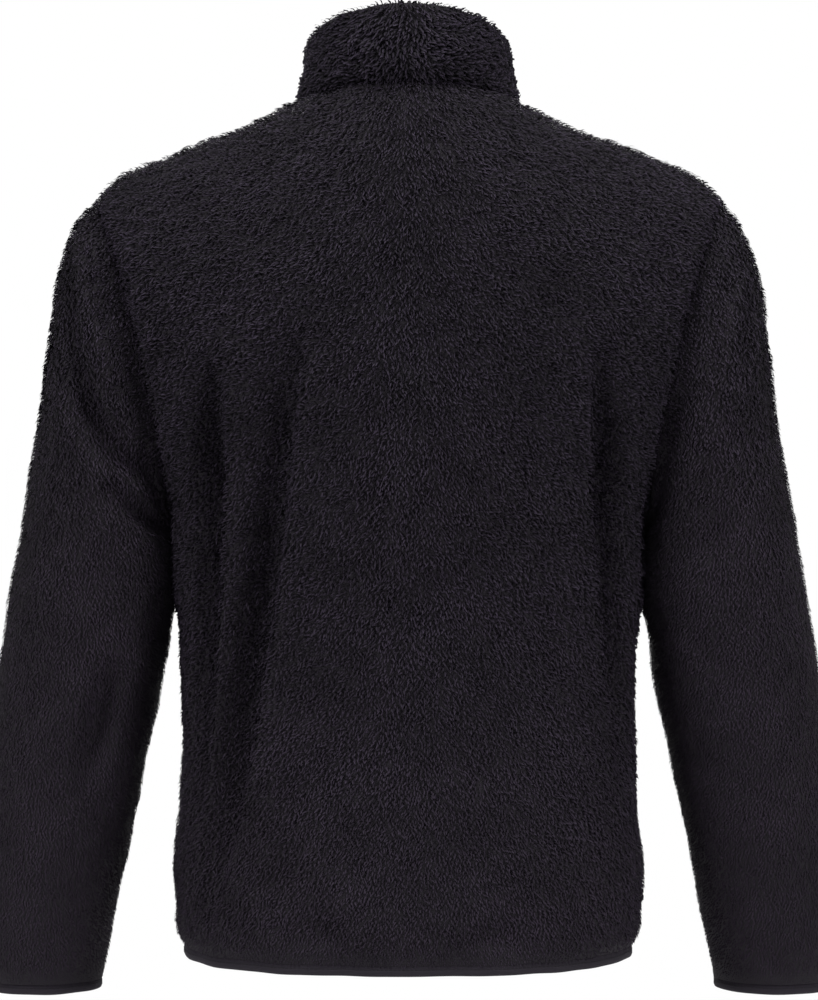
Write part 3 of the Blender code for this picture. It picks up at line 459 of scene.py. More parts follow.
def half_panel(back):
    """The left half of the back, or the left front, as rows of points from hem to shoulder."""
    side = 1 if back else -1
    first_x = 0.0 if back else FRONT_EDGE_X
    rows = []
    for share in np.linspace(0, 1, ROWS_BELOW_UNDERARM + 1) ** LOW_ROWS_POWER:
        z = HEM_Z + (UNDERARM_Z - HEM_Z) * share
        section = body_section(z)
        depth = section.back_depth if back else section.front_depth
        across, deep = around_section(section, depth, first_x)
        rows.append(np.stack([across, side * deep, np.full_like(across, z)], axis=1))
    base = rows[-1]
    top = top_edge(*((BACK_NECK_Y, BACK_NECK_Z) if back else (FRONT_NECK_Y, FRONT_NECK_Z)), first_x)
    armhole_depth = ARMHOLE_HALF_DEPTH_BACK if back else ARMHOLE_HALF_DEPTH_FRONT
    u = np.linspace(0, 1, PANEL_COLUMNS + 1)
    middle_y = side * (section.back_depth if back else section.front_depth)
    fullness = base[:, 1] / middle_y
    past_neck = np.clip(u * PANEL_COLUMNS / NECK_COLUMNS, 0, 1) ** ROUNDNESS_POWER
    roundness = MIDDLE_ROUNDNESS + ADDED_ROUNDNESS * past_neck
    # Below the neck seam the rows forget the neckline's corner.
    shoulder_y = SHOULDER_SEAM[0].y
    corner = np.clip(1 - (u / NECK_CORNER_SHARE) ** 2, 0, 1) ** 2
    soft_y = shoulder_y * (1 - u) + (top[0, 1] - shoulder_y) * corner
    soft_x = first_x + (top[-1, 0] - first_x) * u
    for step in range(1, ROWS_ABOVE_UNDERARM + 1):
        rise = (1 - math.cos(math.pi * step / ROWS_ABOVE_UNDERARM)) / 2
        cap = (1 - min(rise, 1) ** CAP_POWER) ** (1 / roundness)
        top_x = soft_x + (top[:, 0] - soft_x) * rise**TOP_PULL_POWER
        top_y = soft_y + (top[:, 1] - soft_y) * rise**TOP_PULL_POWER
        # The level section at this height, from the middle to the armhole
        edge_y = side * armhole_depth
        if step < ROWS_ABOVE_UNDERARM:
            edge_y *= math.sqrt(4 * rise * (1 - rise) / (1 - rise**CAP_POWER))
        round_part = fullness ** (1 + FULL_ADDED * math.sin(math.pi / 2 * min(rise / FULL_RISE, 1)) ** 2)
        edge_part = (1 - round_part) ** (1 + FLAT_EDGE_ADDED * math.exp(-rise / FLAT_EDGE_RISE))
        stand = side * STAND_OUT * (1 - u**2) * rise * (1 - rise) ** 2
        level_y = middle_y * round_part + edge_y * edge_part + stand
        x = base[:, 0] + (top_x - base[:, 0]) * rise**SIDE_LEAN_POWER
        x -= ARMHOLE_BOW * 4 * rise * (1 - rise) * u**4
        y = top_y + (level_y - top_y) * cap
        z = base[:, 2] + (top[:, 2] - base[:, 2]) * rise
        rows.append(np.stack([x, y, z], axis=1))
    return np.array(rows)


def mirrored(grid):
    """The other side's grid. Its columns run the other way, so that it still faces out."""
    return grid[:, ::-1] * (-1, 1, 1)


def sleeve_grid(front, back):
    """Rings from the armhole to the cuff. The first one is the edge of the front and back."""
    armhole = np.concatenate([front[ROWS_BELOW_UNDERARM:, -1][::-1], back[ROWS_BELOW_UNDERARM:, 0][1:-1]])
    angle = -math.pi * np.arange(2 * ROWS_ABOVE_UNDERARM) / ROWS_ABOVE_UNDERARM
    knots = np.arange(len(SLEEVE_RINGS))
    rings = []
    for at in np.linspace(0, len(SLEEVE_RINGS) - 1, SLEEVE_ROWS + 1):
        ring = SleeveRing(*(spline(knots, column(SLEEVE_RINGS, n), at) for n in SleeveRing._fields))
        centre = np.array([ring.outer_x + ring.inner_x, 2 * ring.middle_y, ring.outer_z + ring.inner_z]) / 2
        outward = np.array([ring.outer_x - ring.inner_x, 0, ring.outer_z - ring.inner_z]) / 2
        deep = np.array([0, ring.half_depth, 0])
        points = centre + np.outer(np.cos(angle), outward) + np.outer(np.sin(angle), deep)
        if not rings:
            armhole_change = armhole - points
        rings.append(points + armhole_change * max(0, 1 - at / ARMHOLE_BLEND_RINGS) ** 2)
    return np.array(rings)


def collar_grid(front, back):
    """Rows from the neck seam to near the rim, from the left front edge round the back."""
    seam = np.concatenate(
        [
            front[-1, : NECK_COLUMNS + 1],
            back[-1, PANEL_COLUMNS - NECK_COLUMNS + 1 : PANEL_COLUMNS + NECK_COLUMNS],
            mirrored(front)[-1, -NECK_COLUMNS - 1 :],
        ]
    )
    base, side_y = COLLAR_RINGS[0], SHOULDER_SEAM[0].y
    behind = seam[:, 1] > side_y
    toward_back = (seam[:, 1] - side_y) / np.where(behind, base.back_y - side_y, side_y - base.front_y)
    rises = column(COLLAR_RINGS, "rise")
    rows, walls = [], []
    for rise in np.linspace(0, COLLAR_TOP_RISE, COLLAR_ROWS + 1):
        ring = CollarRing(*(spline(rises, column(COLLAR_RINGS, n), rise) for n in CollarRing._fields))
        x = seam[:, 0] * ring.half_width / base.half_width
        x = np.where(np.abs(seam[:, 0]) < FRONT_EDGE_X * 1.01, seam[:, 0], x)
        y = side_y + toward_back * np.where(behind, ring.back_y - side_y, side_y - ring.front_y)
        far_z = np.where(behind, ring.back_z, ring.front_z)
        z = ring.side_z + (far_z - ring.side_z) * np.abs(toward_back) ** NECKLINE_POWER
        rows.append(np.stack([x, y, z], axis=1))
        walls.append(ring.thickness)
    rows[0] = seam
    return np.array(rows), np.array(walls)


def quads_of(rows, columns, closed):
    """Corner numbers of a grid's faces, whose points are numbered row by row, facing out."""
    i, j = np.mgrid[0 : rows - 1, 0 : columns if closed else columns - 1]
    beside = (j + 1) % columns
    corners = [i * columns + j, i * columns + beside, (i + 1) * columns + beside, (i + 1) * columns + j]
    return np.stack(corners, axis=-1).reshape(-1, 4)


def place_numbers(grids):
    """One number for each place, which points that two pieces share have in common."""
    points = np.concatenate([grid.reshape(-1, 3) for grid in grids.values()])
    return np.unique(np.round(points, 5) + 0.0, axis=0, return_inverse=True)[1].reshape(-1)


def shared_normals(grids, closed):
    """Outward directions at every point. Points that two pieces share get one direction."""
    place = place_numbers(grids)
    total = np.zeros((place.max() + 1, 3))
    start = 0
    for name, grid in grids.items():
        points = grid.reshape(-1, 3)
        quads = quads_of(*grid.shape[:2], closed[name])
        a, b, c, d = (points[quads[:, k]] for k in range(4))
        direction = np.cross(c - a, d - b)
        for k in range(4):
            np.add.at(total, place[start + quads[:, k]], direction)
        start += len(points)
    normals, start = {}, 0
    for name, grid in grids.items():
        count = grid.shape[0] * grid.shape[1]
        normals[name] = unit(total[place[start : start + count]]).reshape(grid.shape)
        start += count
    return normals


def fold_push(fold, points, normals):
    """How far a crease moves each point outward."""
    facing = normals[:, 1] if fold.view == "back" else -normals[:, 1]
    a, b, c = (np.array(p) for p in (fold.start, fold.middle, fold.end))
    bend = 2 * b - (a + c) / 2
    t = np.linspace(0, 1, FOLD_STEPS + 1)[:, None]
    path = a * (1 - t) ** 2 + bend * 2 * t * (1 - t) + c * t**2
    flat = points[:, None, [0, 2]]
    step = np.diff(path, axis=0)
    share = np.clip(((flat - path[:-1]) * step).sum(axis=2) / (step**2).sum(axis=1), 0, 1)
    foot = path[:-1] + share[..., None] * step
    distance = np.linalg.norm(flat - foot, axis=2)
    nearest = distance.argmin(axis=1)
    every = np.arange(len(points))
    along = (nearest + share[every, nearest]) / FOLD_STEPS
    inner = np.abs(points[:, 0]) < np.abs(foot[every, nearest, 0])
    width = np.where(inner, fold.inner_width, fold.outer_width)
    across = distance[every, nearest] / np.clip(facing, LEAST_FACING, 1) / width
    fade = np.sin(math.pi * along) ** FOLD_FADE_POWER
    shown = np.clip((facing - FOLD_EDGE_ON) / (FOLD_FULL_ON - FOLD_EDGE_ON), 0, 1)
    shown = shown**2 * (3 - 2 * shown)
    return fold.push * fade * shown * (1 - FOLD_LIP * across**2) * np.exp(-(across**2))


def uneven_push(points):
    """Soft unevenness of the cloth, in waves a few centimetres long that cross each other."""
    x, y, z = (points * math.tau).T
    push = 0
    rows = (UNEVEN_SLOW, SLOW_WAVES, SLOW_SWAYS), (UNEVEN_QUICK, QUICK_WAVES, QUICK_SWAYS)
    for size, wave, (across_sway, up_sway) in rows:
        across = np.sin(x / wave.across + across_sway * np.sin(z / wave.across_sway))
        up = np.sin(z / wave.up + up_sway * np.sin(x / wave.up_sway) + y / wave.deep)
        push = push + size * across * up
    return push


def touch_push(points):
    """How far the sleeve and the body swell toward each other below the underarm."""
    across = (np.abs(points[:, 0]) - TOUCH_X) / TOUCH_HALF_WIDTH
    up = (points[:, 2] - TOUCH_Z) / TOUCH_HALF_HEIGHT
    return TOUCH_PUSH * np.exp(-(across**2) - up**4)


def folded(grids, closed):
    """The grids with their creases, and their shared seams drawn in a little."""
    normals = shared_normals(grids, closed)
    place = place_numbers(grids)
    uses = np.bincount(place)
    height = np.zeros(len(uses))
    height[place] = np.concatenate([grid[..., 2].reshape(-1) for grid in grids.values()])
    pinch = np.where(uses > 1, np.where(height > UNDERARM_Z, SHOULDER_PINCH, SIDE_PINCH), 0)
    armhole = np.interp(height, ARMHOLE_FADE_Z, (ARMHOLE_PINCH, SIDE_PINCH))
    start = 0
    for name, grid in grids.items():
        count = grid.shape[0] * grid.shape[1]
        first_row = place[start : start + grid.shape[1]]
        if closed[name]:
            pinch[first_row] = armhole[first_row]
        if name == "collar":
            pinch[first_row] = NECK_PINCH
        start += count
    shaped, start = {}, 0
    for name, grid in grids.items():
        points, facing = grid.reshape(-1, 3), normals[name].reshape(-1, 3)
        push = uneven_push(points) + touch_push(points)
        if name != "collar":
            push += sum(fold_push(fold, points, facing) for fold in FOLDS)
        push -= pinch[place[start : start + len(points)]]
        shaped[name] = (points + facing * push[:, None]).reshape(grid.shape)
        start += len(points)
    return shaped


def seam_inset(grid, normals, closed):
    """Moves that draw the grid's open edges in by half a seam gap, square to the seam's rim."""
    moves = np.zeros_like(grid)

    def draw(edge, turn, around):
        line, out = grid[edge], normals[edge]
        if around:
            tangent = np.roll(line, -1, axis=0) - np.roll(line, 1, axis=0)
        else:
            tangent = np.gradient(line, axis=0)
        moves[edge] += unit(np.cross(out, tangent) * turn) * SEAM_GAP / 2

    draw(np.s_[0, :], 1, closed)
    draw(np.s_[-1, :], -1, closed)
    if not closed:
        draw(np.s_[:, 0], -1, False)
        draw(np.s_[:, -1], 1, False)
    return moves


def linear(hex_code):
    """An sRGB hex colour as linear light."""
    channels = [int(hex_code[k : k + 2], 16) / 255 for k in (1, 3, 5)]
    return tuple(c / 12.92 if c <= 0.04045 else ((c + 0.055) / 1.055) ** 2.4 for c in channels) + (1.0,)


def add(tree, kind, inputs=(), stops=(), **settings):
    """A new node with its settings and links, and a colour ramp's stops of place and colour.

    An input is a value, a socket, or a node whose first output it takes.
    """
    node = tree.nodes.new(kind)
    for name, value in settings.items():
        setattr(node, name, value)
    for name, value in dict(inputs).items():
        if isinstance(value, bpy.types.Node):
            value = value.outputs[0]
        if isinstance(value, bpy.types.NodeSocket):
            tree.links.new(value, node.inputs[name])
        else:
            node.inputs[name].default_value = value
    for number, (place, colour) in enumerate(stops):
        elements = node.color_ramp.elements
        element = elements[number] if number < len(elements) else elements.new(place)
        element.position = place
        element.color = colour
    return node


def new_material(name):
    """A material with an empty node tree, and the function that adds a node to it."""
    material = bpy.data.materials.new(name)
    material.use_nodes = True
    material.node_tree.nodes.clear()
    return material, partial(add, material.node_tree)


def pile_material():
    # Brushed polyester pile: each lock has painted shade at its root and along its sides, and a
    # painted highlight down its middle and toward its rounded tip, with fine strands along it, and
    # the tips have a soft sheen. Where the pile is pressed calm, as on the sleeves, the painted shade
    # gives way to one even colour, and the locks run together and show less.
    # In a Mix node the two values are sockets 2 and 3, and the two colours are 6 and 7.
    material, put = new_material("brushed polyester pile")
    where = put("ShaderNodeTexCoord").outputs["Object"]
    sheet = put("ShaderNodeUVMap", uv_map="lock").outputs["UV"]
    place = put("ShaderNodeSeparateXYZ", {"Vector": sheet})
    calm = put("ShaderNodeAttribute", attribute_name="calm").outputs["Fac"]
    tone = put("ShaderNodeAttribute", attribute_name="tone").outputs["Fac"]
    # Painted shade at each lock's root, grading to a painted highlight at its tip
    root_shade_to_tip_highlight = put(
        "ShaderNodeValToRGB",
        {"Fac": place.outputs["Y"]},
        stops=[(0.0, linear("#08070a")), (0.35, linear("#161319")), (1.0, linear("#2c2632"))],
    )
    # Painted shade along each lock's two edges, and a painted highlight down its middle
    edge_shade_middle_highlight = put(
        "ShaderNodeValToRGB",
        {"Fac": place.outputs["X"]},
        stops=[(0.0, (0.08, 0.08, 0.08, 1)), (0.5, (1.3, 1.3, 1.3, 1)), (1.0, (0.08, 0.08, 0.08, 1))],
    )
    # Painted shade on a lock's sides and a painted highlight down its middle, at full strength where
    # the pile is lively and fading out where it is calm
    painted_side_shade = put(
        "ShaderNodeMix",
        {"Factor": calm, 6: edge_shade_middle_highlight, 7: (1.0, 1.0, 1.0, 1)},
        data_type="RGBA",
    )
    combed = put(
        "ShaderNodeMix",
        {"Factor": calm, 6: root_shade_to_tip_highlight, 7: linear("#241e27")},
        data_type="RGBA",
    )
    # The lock's colour times its painted side shade and middle highlight
    lock_colour_with_painted_shade = put(
        "ShaderNodeVectorMath",
        {0: combed.outputs[2], 1: painted_side_shade.outputs[2]},
        operation="MULTIPLY",
    )
    # Locks differ, and patches about 45 mm wide lie a little darker or paler
    spread = put("ShaderNodeMapRange", {"Value": calm, "To Min": 0.75, "To Max": 0.2})
    from_middle = put("ShaderNodeMath", {0: tone, 1: 0.5}, operation="SUBTRACT")
    own = put("ShaderNodeMath", {0: from_middle, 1: spread, 2: 1.0}, operation="MULTIPLY_ADD")
    patches = put("ShaderNodeTexNoise", {"Vector": where, "Scale": 22.0, "Detail": 3.0})
    patch = put(
        "ShaderNodeMapRange",
        {"Value": patches, "From Min": 0.3, "From Max": 0.7, "To Min": 0.76, "To Max": 1.2},
    )
    shade = put("ShaderNodeMath", {0: own, 1: patch}, operation="MULTIPLY")
    colour = put("ShaderNodeVectorMath", {0: lock_colour_with_painted_shade, "Scale": shade}, operation="SCALE")
    # Strands a quarter of a millimetre wide, which is coarser than real fibres, so that they show
    along = put("ShaderNodeMapping", {"Vector": sheet, "Scale": (7, 1.2, 1)})
    strands = put("ShaderNodeTexNoise", {"Vector": along, "Scale": 1.0, "Detail": 1.0})
    bump = put("ShaderNodeBump", {"Height": strands, "Distance": 0.0004, "Strength": 0.6})
    shader = put(
        "ShaderNodeBsdfPrincipled",
        {
            "Base Color": colour,
            "Roughness": 0.6,
            "Specular IOR Level": 0.05,
            "Sheen Weight": 0.009,
            "Sheen Roughness": 0.45,
            "Normal": bump,
        },
    )
    put("ShaderNodeOutputMaterial", {"Surface": shader})
    return material


def knit_material(name, loop, low, high):
    # Weft-knitted polyester: columns of small v-shaped loops, with painted shade between their legs
    # and in the low parts of each row. It gives the eye a soft matt grain with a direction.
    # Loops are drawn about half as large again as real ones, so that they show.
    material, put = new_material(name)
    cloth = put("ShaderNodeUVMap", uv_map="cloth").outputs["UV"]
    place = put("ShaderNodeSeparateXYZ", {"Vector": cloth})
    across = put("ShaderNodeMath", {0: place.outputs["X"], 1: math.pi / loop.wale}, operation="MULTIPLY")
    column_wave = put("ShaderNodeMath", {0: across}, operation="SINE")
    leg = put("ShaderNodeMath", {0: column_wave}, operation="ABSOLUTE")
    up = put("ShaderNodeMath", {0: place.outputs["Y"], 1: math.tau / loop.course}, operation="MULTIPLY")
    slanted = put("ShaderNodeMath", {0: leg, 1: 2.6, 2: up}, operation="MULTIPLY_ADD")
    row_wave = put("ShaderNodeMath", {0: slanted}, operation="SINE")
    raised = put("ShaderNodeMath", {0: row_wave, 1: 0.5, 2: 0.5}, operation="MULTIPLY_ADD")
    loops = put("ShaderNodeMath", {0: raised, 1: leg}, operation="MULTIPLY")
    # Painted shade: the colour is darker where the loops' height is low, in the hollows between legs and
    # rows, and paler on the raised loops
    colour = put("ShaderNodeValToRGB", {"Fac": loops}, stops=[(0.0, linear(low)), (0.8, linear(high))])
    bump = put("ShaderNodeBump", {"Height": loops, "Distance": 0.25 * loop.wale, "Strength": 0.7})
    shader = put(
        "ShaderNodeBsdfPrincipled",
        {
            "Base Color": colour,
            "Roughness": 0.85,
            "Specular IOR Level": 0.2,
            "Sheen Weight": 0.01,
            "Normal": bump,
        },
    )
    put("ShaderNodeOutputMaterial", {"Surface": shader})
    return material


def tape_material():
    # Woven polyester tape in a herringbone: slanting ribs that turn back every 2 mm, with the low,
    # even gloss of filament yarn. The ribs are drawn coarser than real ones, so that they show.
    material, put = new_material("woven polyester tape")
    cloth = put("ShaderNodeUVMap", uv_map="cloth").outputs["UV"]
    place = put("ShaderNodeSeparateXYZ", {"Vector": cloth})
    turned = put("ShaderNodeMath", {0: place.outputs["X"], 1: 0.002}, operation="PINGPONG")
    slant = put("ShaderNodeMath", {0: turned, 1: place.outputs["Y"]}, operation="ADD")
    rib = put("ShaderNodeMath", {0: slant, 1: math.tau / 0.0009}, operation="MULTIPLY")
    wave = put("ShaderNodeMath", {0: rib}, operation="SINE")
    height = put("ShaderNodeMath", {0: wave, 1: 0.5, 2: 0.5}, operation="MULTIPLY_ADD")
    # Painted shade in the grooves between the ribs, and paler colour on their crests, following the ribs'
    # height
    colour = put(
        "ShaderNodeValToRGB",
        {"Fac": height},
        stops=[(0.0, linear("#0b0a0c")), (1.0, linear("#1c1a1d"))],
    )
    bump = put("ShaderNodeBump", {"Height": height, "Distance": 0.0002, "Strength": 0.7})
    shader = put(
        "ShaderNodeBsdfPrincipled",
        {"Base Color": colour, "Roughness": 0.7, "Specular IOR Level": 0.3, "Normal": bump},
    )
    put("ShaderNodeOutputMaterial", {"Surface": shader})
    return material


def moulded_material(name, low, high, roughness, grain):
    # Hard trim. Nylon is moulded or drawn smooth, and zinc is die-cast and painted: both have a
    # satin gloss that a fine unevenness breaks up, and are a little rougher where it is paler.
    material, put = new_material(name)
    where = put("ShaderNodeTexCoord").outputs["Object"]
    uneven = put("ShaderNodeTexNoise", {"Vector": where, "Scale": 1 / grain, "Detail": 2.0})
    colour = put("ShaderNodeValToRGB", {"Fac": uneven}, stops=[(0.3, linear(low)), (0.7, linear(high))])
    rough = put(
        "ShaderNodeMapRange",
        {"Value": uneven, "To Min": roughness - 0.08, "To Max": roughness + 0.1},
    )
    bump = put("ShaderNodeBump", {"Height": uneven, "Distance": 0.00005, "Strength": 0.4})
    shader = put("ShaderNodeBsdfPrincipled", {"Base Color": colour, "Roughness": rough, "Normal": bump})
    put("ShaderNodeOutputMaterial", {"Surface": shader})
    return material


def in_scene(name, data):
    """A new object that holds the data."""
    obj = bpy.data.objects.new(name, data)
    bpy.context.scene.collection.objects.link(obj)
    return obj


def face_outwards(mesh):
    """Turns the faces of a closed shape to point out of it."""
    work = bmesh.new()
    work.from_mesh(mesh)
    bmesh.ops.recalc_face_normals(work, faces=work.faces)
    work.to_mesh(mesh)
    work.free()


def new_piece(name, points, faces, material, places):
    """A mesh in its place. Places are each point's distances across and up its cloth, in metres."""
    mesh = bpy.data.meshes.new(name)
    mesh.from_pydata(np.asarray(points).tolist(), [], [tuple(face) for face in faces])
    mesh.update()
    mesh.shade_smooth()
    mesh.set_sharp_from_angle(angle=math.radians(CLOTH_SHARP_DEGREES))
    mesh.materials.append(material)
    corners = np.zeros(len(mesh.loops), int)
    mesh.loops.foreach_get("vertex_index", corners)
    mesh.uv_layers.new(name="cloth").data.foreach_set("uv", places[corners].reshape(-1))
    return in_scene(name, mesh)


def edge_loops(rows, columns, closed):
    """The grid's open edges as pairs of point numbers, with the cloth on the left."""
    last = columns if closed else columns - 1
    pairs = [(j, (j + 1) % columns) for j in range(last)]
    top = (rows - 1) * columns
    pairs += [(top + (j + 1) % columns, top + j) for j in range(last)]
    if not closed:
        pairs += [((i + 1) * columns, i * columns) for i in range(rows - 1)]
        pairs += [(i * columns + columns - 1, (i + 1) * columns + columns - 1) for i in range(rows - 1)]
    return pairs


def distances(line):
    """How far each point of a line is from its first one, along it."""
    steps = np.linalg.norm(np.diff(line, axis=0), axis=1)
    return np.concatenate([[0], np.cumsum(steps)])


def cloth_places(grid):
    """Distances across and up the cloth from its middle for each point of a grid."""
    rows, columns = grid.shape[:2]
    across = np.array([distances(row) for row in grid])
    across -= across[:, columns // 2][:, None]
    up = np.array([distances(grid[:, j]) for j in range(columns)]).T
    return np.stack([across, up], axis=2).reshape(-1, 2)


def ground_cloth(name, outer, inner, closed, material):
    """A closed thin cloth between an outer and an inner grid."""
    rows, columns = outer.shape[:2]
    count = rows * columns
    quads = quads_of(rows, columns, closed)
    faces = [*quads.tolist(), *(quads[:, ::-1] + count).tolist()]
    faces += [(b, a, count + a, count + b) for a, b in edge_loops(rows, columns, closed)]
    points = np.concatenate([outer.reshape(-1, 3), inner.reshape(-1, 3)])
    places = np.tile(cloth_places(outer), (2, 1))
    return new_piece(name, points, faces, material, places)


def cut_of(grid, closed):
    """The flat width, length and area that a panel is cut to."""
    rows = [np.concatenate([row, row[:1]]) if closed else row for row in grid]
    width = max(distances(row)[-1] for row in rows)
    length = max(distances(grid[:, j])[-1] for j in range(grid.shape[1]))
    corners = grid.reshape(-1, 3)[quads_of(*grid.shape[:2], closed)]
    turned = np.cross(corners[:, 2] - corners[:, 0], corners[:, 3] - corners[:, 1])
    area = np.linalg.norm(turned, axis=1).sum() / 2
    return (round(float(width), 3), round(float(length), 3)), round(float(area), 4)


def away_round(grid):
    """Round the collar from the middle of the back toward the front edges."""
    turn = np.where(np.arange(grid.shape[1]) < grid.shape[1] / 2, -1.0, 1.0)
    return np.gradient(grid, axis=1) * turn[None, :, None]


def nap_directions(name, grid, normals):
    """The way the pile is combed at each point, along the cloth."""
    down = np.zeros_like(grid)
    down[..., 2] = -1
    # Near the middle the two sides' naps meet without a parting.
    middle = COLLAR_NAP_MIDDLE if name == "collar" else BODY_NAP_MIDDLE
    from_middle = np.tanh(np.abs(grid[..., 0]) / middle)
    if name.startswith("sleeve"):
        down = np.gradient(grid, axis=0)
        away = np.cross(normals, down) * (1.0 if name.endswith("left") else -1.0)
        degrees = np.full(grid.shape[:2], SLEEVE_NAP_DEGREES)
    elif name == "collar":
        away = away_round(grid)
        # From the rim the pile falls down both faces.
        outside = np.arange(len(grid)) <= COLLAR_ROWS + RIM_ROWS
        down = np.gradient(grid, axis=0) * np.where(outside, -1.0, 1.0)[:, None, None]
        degrees = COLLAR_NAP_DEGREES * from_middle
    else:
        away = np.zeros_like(grid)
        away[..., 0] = np.where(grid[..., 0] < 0, -1.0, 1.0)
        turns = np.interp(grid[..., 2], column(NAP_TURNS, "z"), column(NAP_TURNS, "degrees"))
        degrees = turns * from_middle
    down, away = (unit(v - normals * (v * normals).sum(axis=-1, keepdims=True)) for v in (down, away))
    turn = np.radians(degrees)[..., None]
    return unit(down * np.cos(turn) + away * np.sin(turn))


def calmness(name, grid):
    """How flat the pile lies, from 0 where it is lively to 1 at the smooth cuffs."""
    if name == "collar":
        return np.zeros(grid.shape[:2])
    table = SLEEVE_CALM if name.startswith("sleeve") else BODY_CALM
    return np.interp(grid[..., 2], column(table, "z"), column(table, "calm"))


def reach_of(name, grid):
    """How large the locks are: smaller on the collar's rim and beside the zip and bindings."""
    reach = np.full(grid.shape[:2], 1.0 if name == "collar" else BODY_REACH)
    if name == "collar":
        rim = (np.arange(grid.shape[0]) - grid.shape[0] / 2) / RIM_SPREAD_ROWS
        reach += (RIM_REACH - 1) * np.exp(-(rim**2))[:, None]
    if name.startswith("front") or name == "collar":
        beside = np.clip((np.abs(grid[..., 0]) - FRONT_EDGE_X) / BESIDE_ZIP, 0, 1)
        beside = np.where(grid[..., 1] < 0, beside, 1)
        reach *= ZIP_REACH + (1 - ZIP_REACH) * beside
    if name != "collar":
        bound = grid[-1:] if name.startswith("sleeve") else grid[:1]
        away = np.linalg.norm(grid - bound, axis=-1)
        reach *= 1 - (1 - EDGE_REACH) * np.exp(-((away / EDGE_WIDTH) ** 2))
        reach *= 1 - (1 - CALM_REACH) * calmness(name, grid)
    return reach


def pile_guide(name, grid, nap, calm, reach, closed):
    """The ground's face as a bare surface that carries the pile's direction, calm and reach."""
    mesh = bpy.data.meshes.new(name)
    quads = quads_of(*grid.shape[:2], closed)
    mesh.from_pydata(grid.reshape(-1, 3).tolist(), [], quads.tolist())
    mesh.update()
    mesh.shade_smooth()
    mesh.attributes.new("nap", "FLOAT_VECTOR", "POINT").data.foreach_set("vector", nap.reshape(-1))
    mesh.attributes.new("calm", "FLOAT", "POINT").data.foreach_set("value", calm.reshape(-1))
    mesh.attributes.new("reach", "FLOAT", "POINT").data.foreach_set("value", reach.reshape(-1))
    return in_scene(name, mesh)


def lock_collection(name, locks):
    """Meshes of single locks of pile, each bent along its length and with its own UV map."""
    group = bpy.data.collections.new(name)
    bpy.context.scene.collection.children.link(group)
    for lock_name, sections in locks.items():
        length = sections[-1].along
        points, places, faces = [], [], []
        for section in sections[:-1]:
            for side in (-1, 1):
                points.append((section.aside + side * section.half_width, section.along, section.lift))
                places.append(((side + 1) / 2, section.along / length))
        tip = sections[-1]
        points.append((tip.aside, tip.along, tip.lift))
        places.append((0.5, 1.0))
        for a in range(0, 2 * len(sections) - 4, 2):
            faces.append((a, a + 1, a + 3, a + 2))
        faces.append((len(points) - 3, len(points) - 2, len(points) - 1))
        mesh = bpy.data.meshes.new(lock_name)
        mesh.from_pydata([tuple(MM * c for c in p) for p in points], [], faces)
        mesh.shade_smooth()
        uv = mesh.uv_layers.new(name="lock")
        for loop in mesh.loops:
            uv.data[loop.index].uv = places[loop.vertex_index]
        group.objects.link(bpy.data.objects.new(lock_name, mesh))
    return group


def new_tree(name, inputs):
    """A Geometry Nodes tree with named inputs, its given and its result, and what adds a node."""
    tree = bpy.data.node_groups.new(name, "GeometryNodeTree")
    tree.interface.new_socket("Geometry", in_out="INPUT", socket_type="NodeSocketGeometry")
    tree.interface.new_socket("Geometry", in_out="OUTPUT", socket_type="NodeSocketGeometry")
    for label, kind in inputs.items():
        tree.interface.new_socket(label, in_out="INPUT", socket_type=kind)
    given = tree.nodes.new("NodeGroupInput").outputs
    result = tree.nodes.new("NodeGroupOutput").inputs
    return tree, given, result, partial(add, tree)


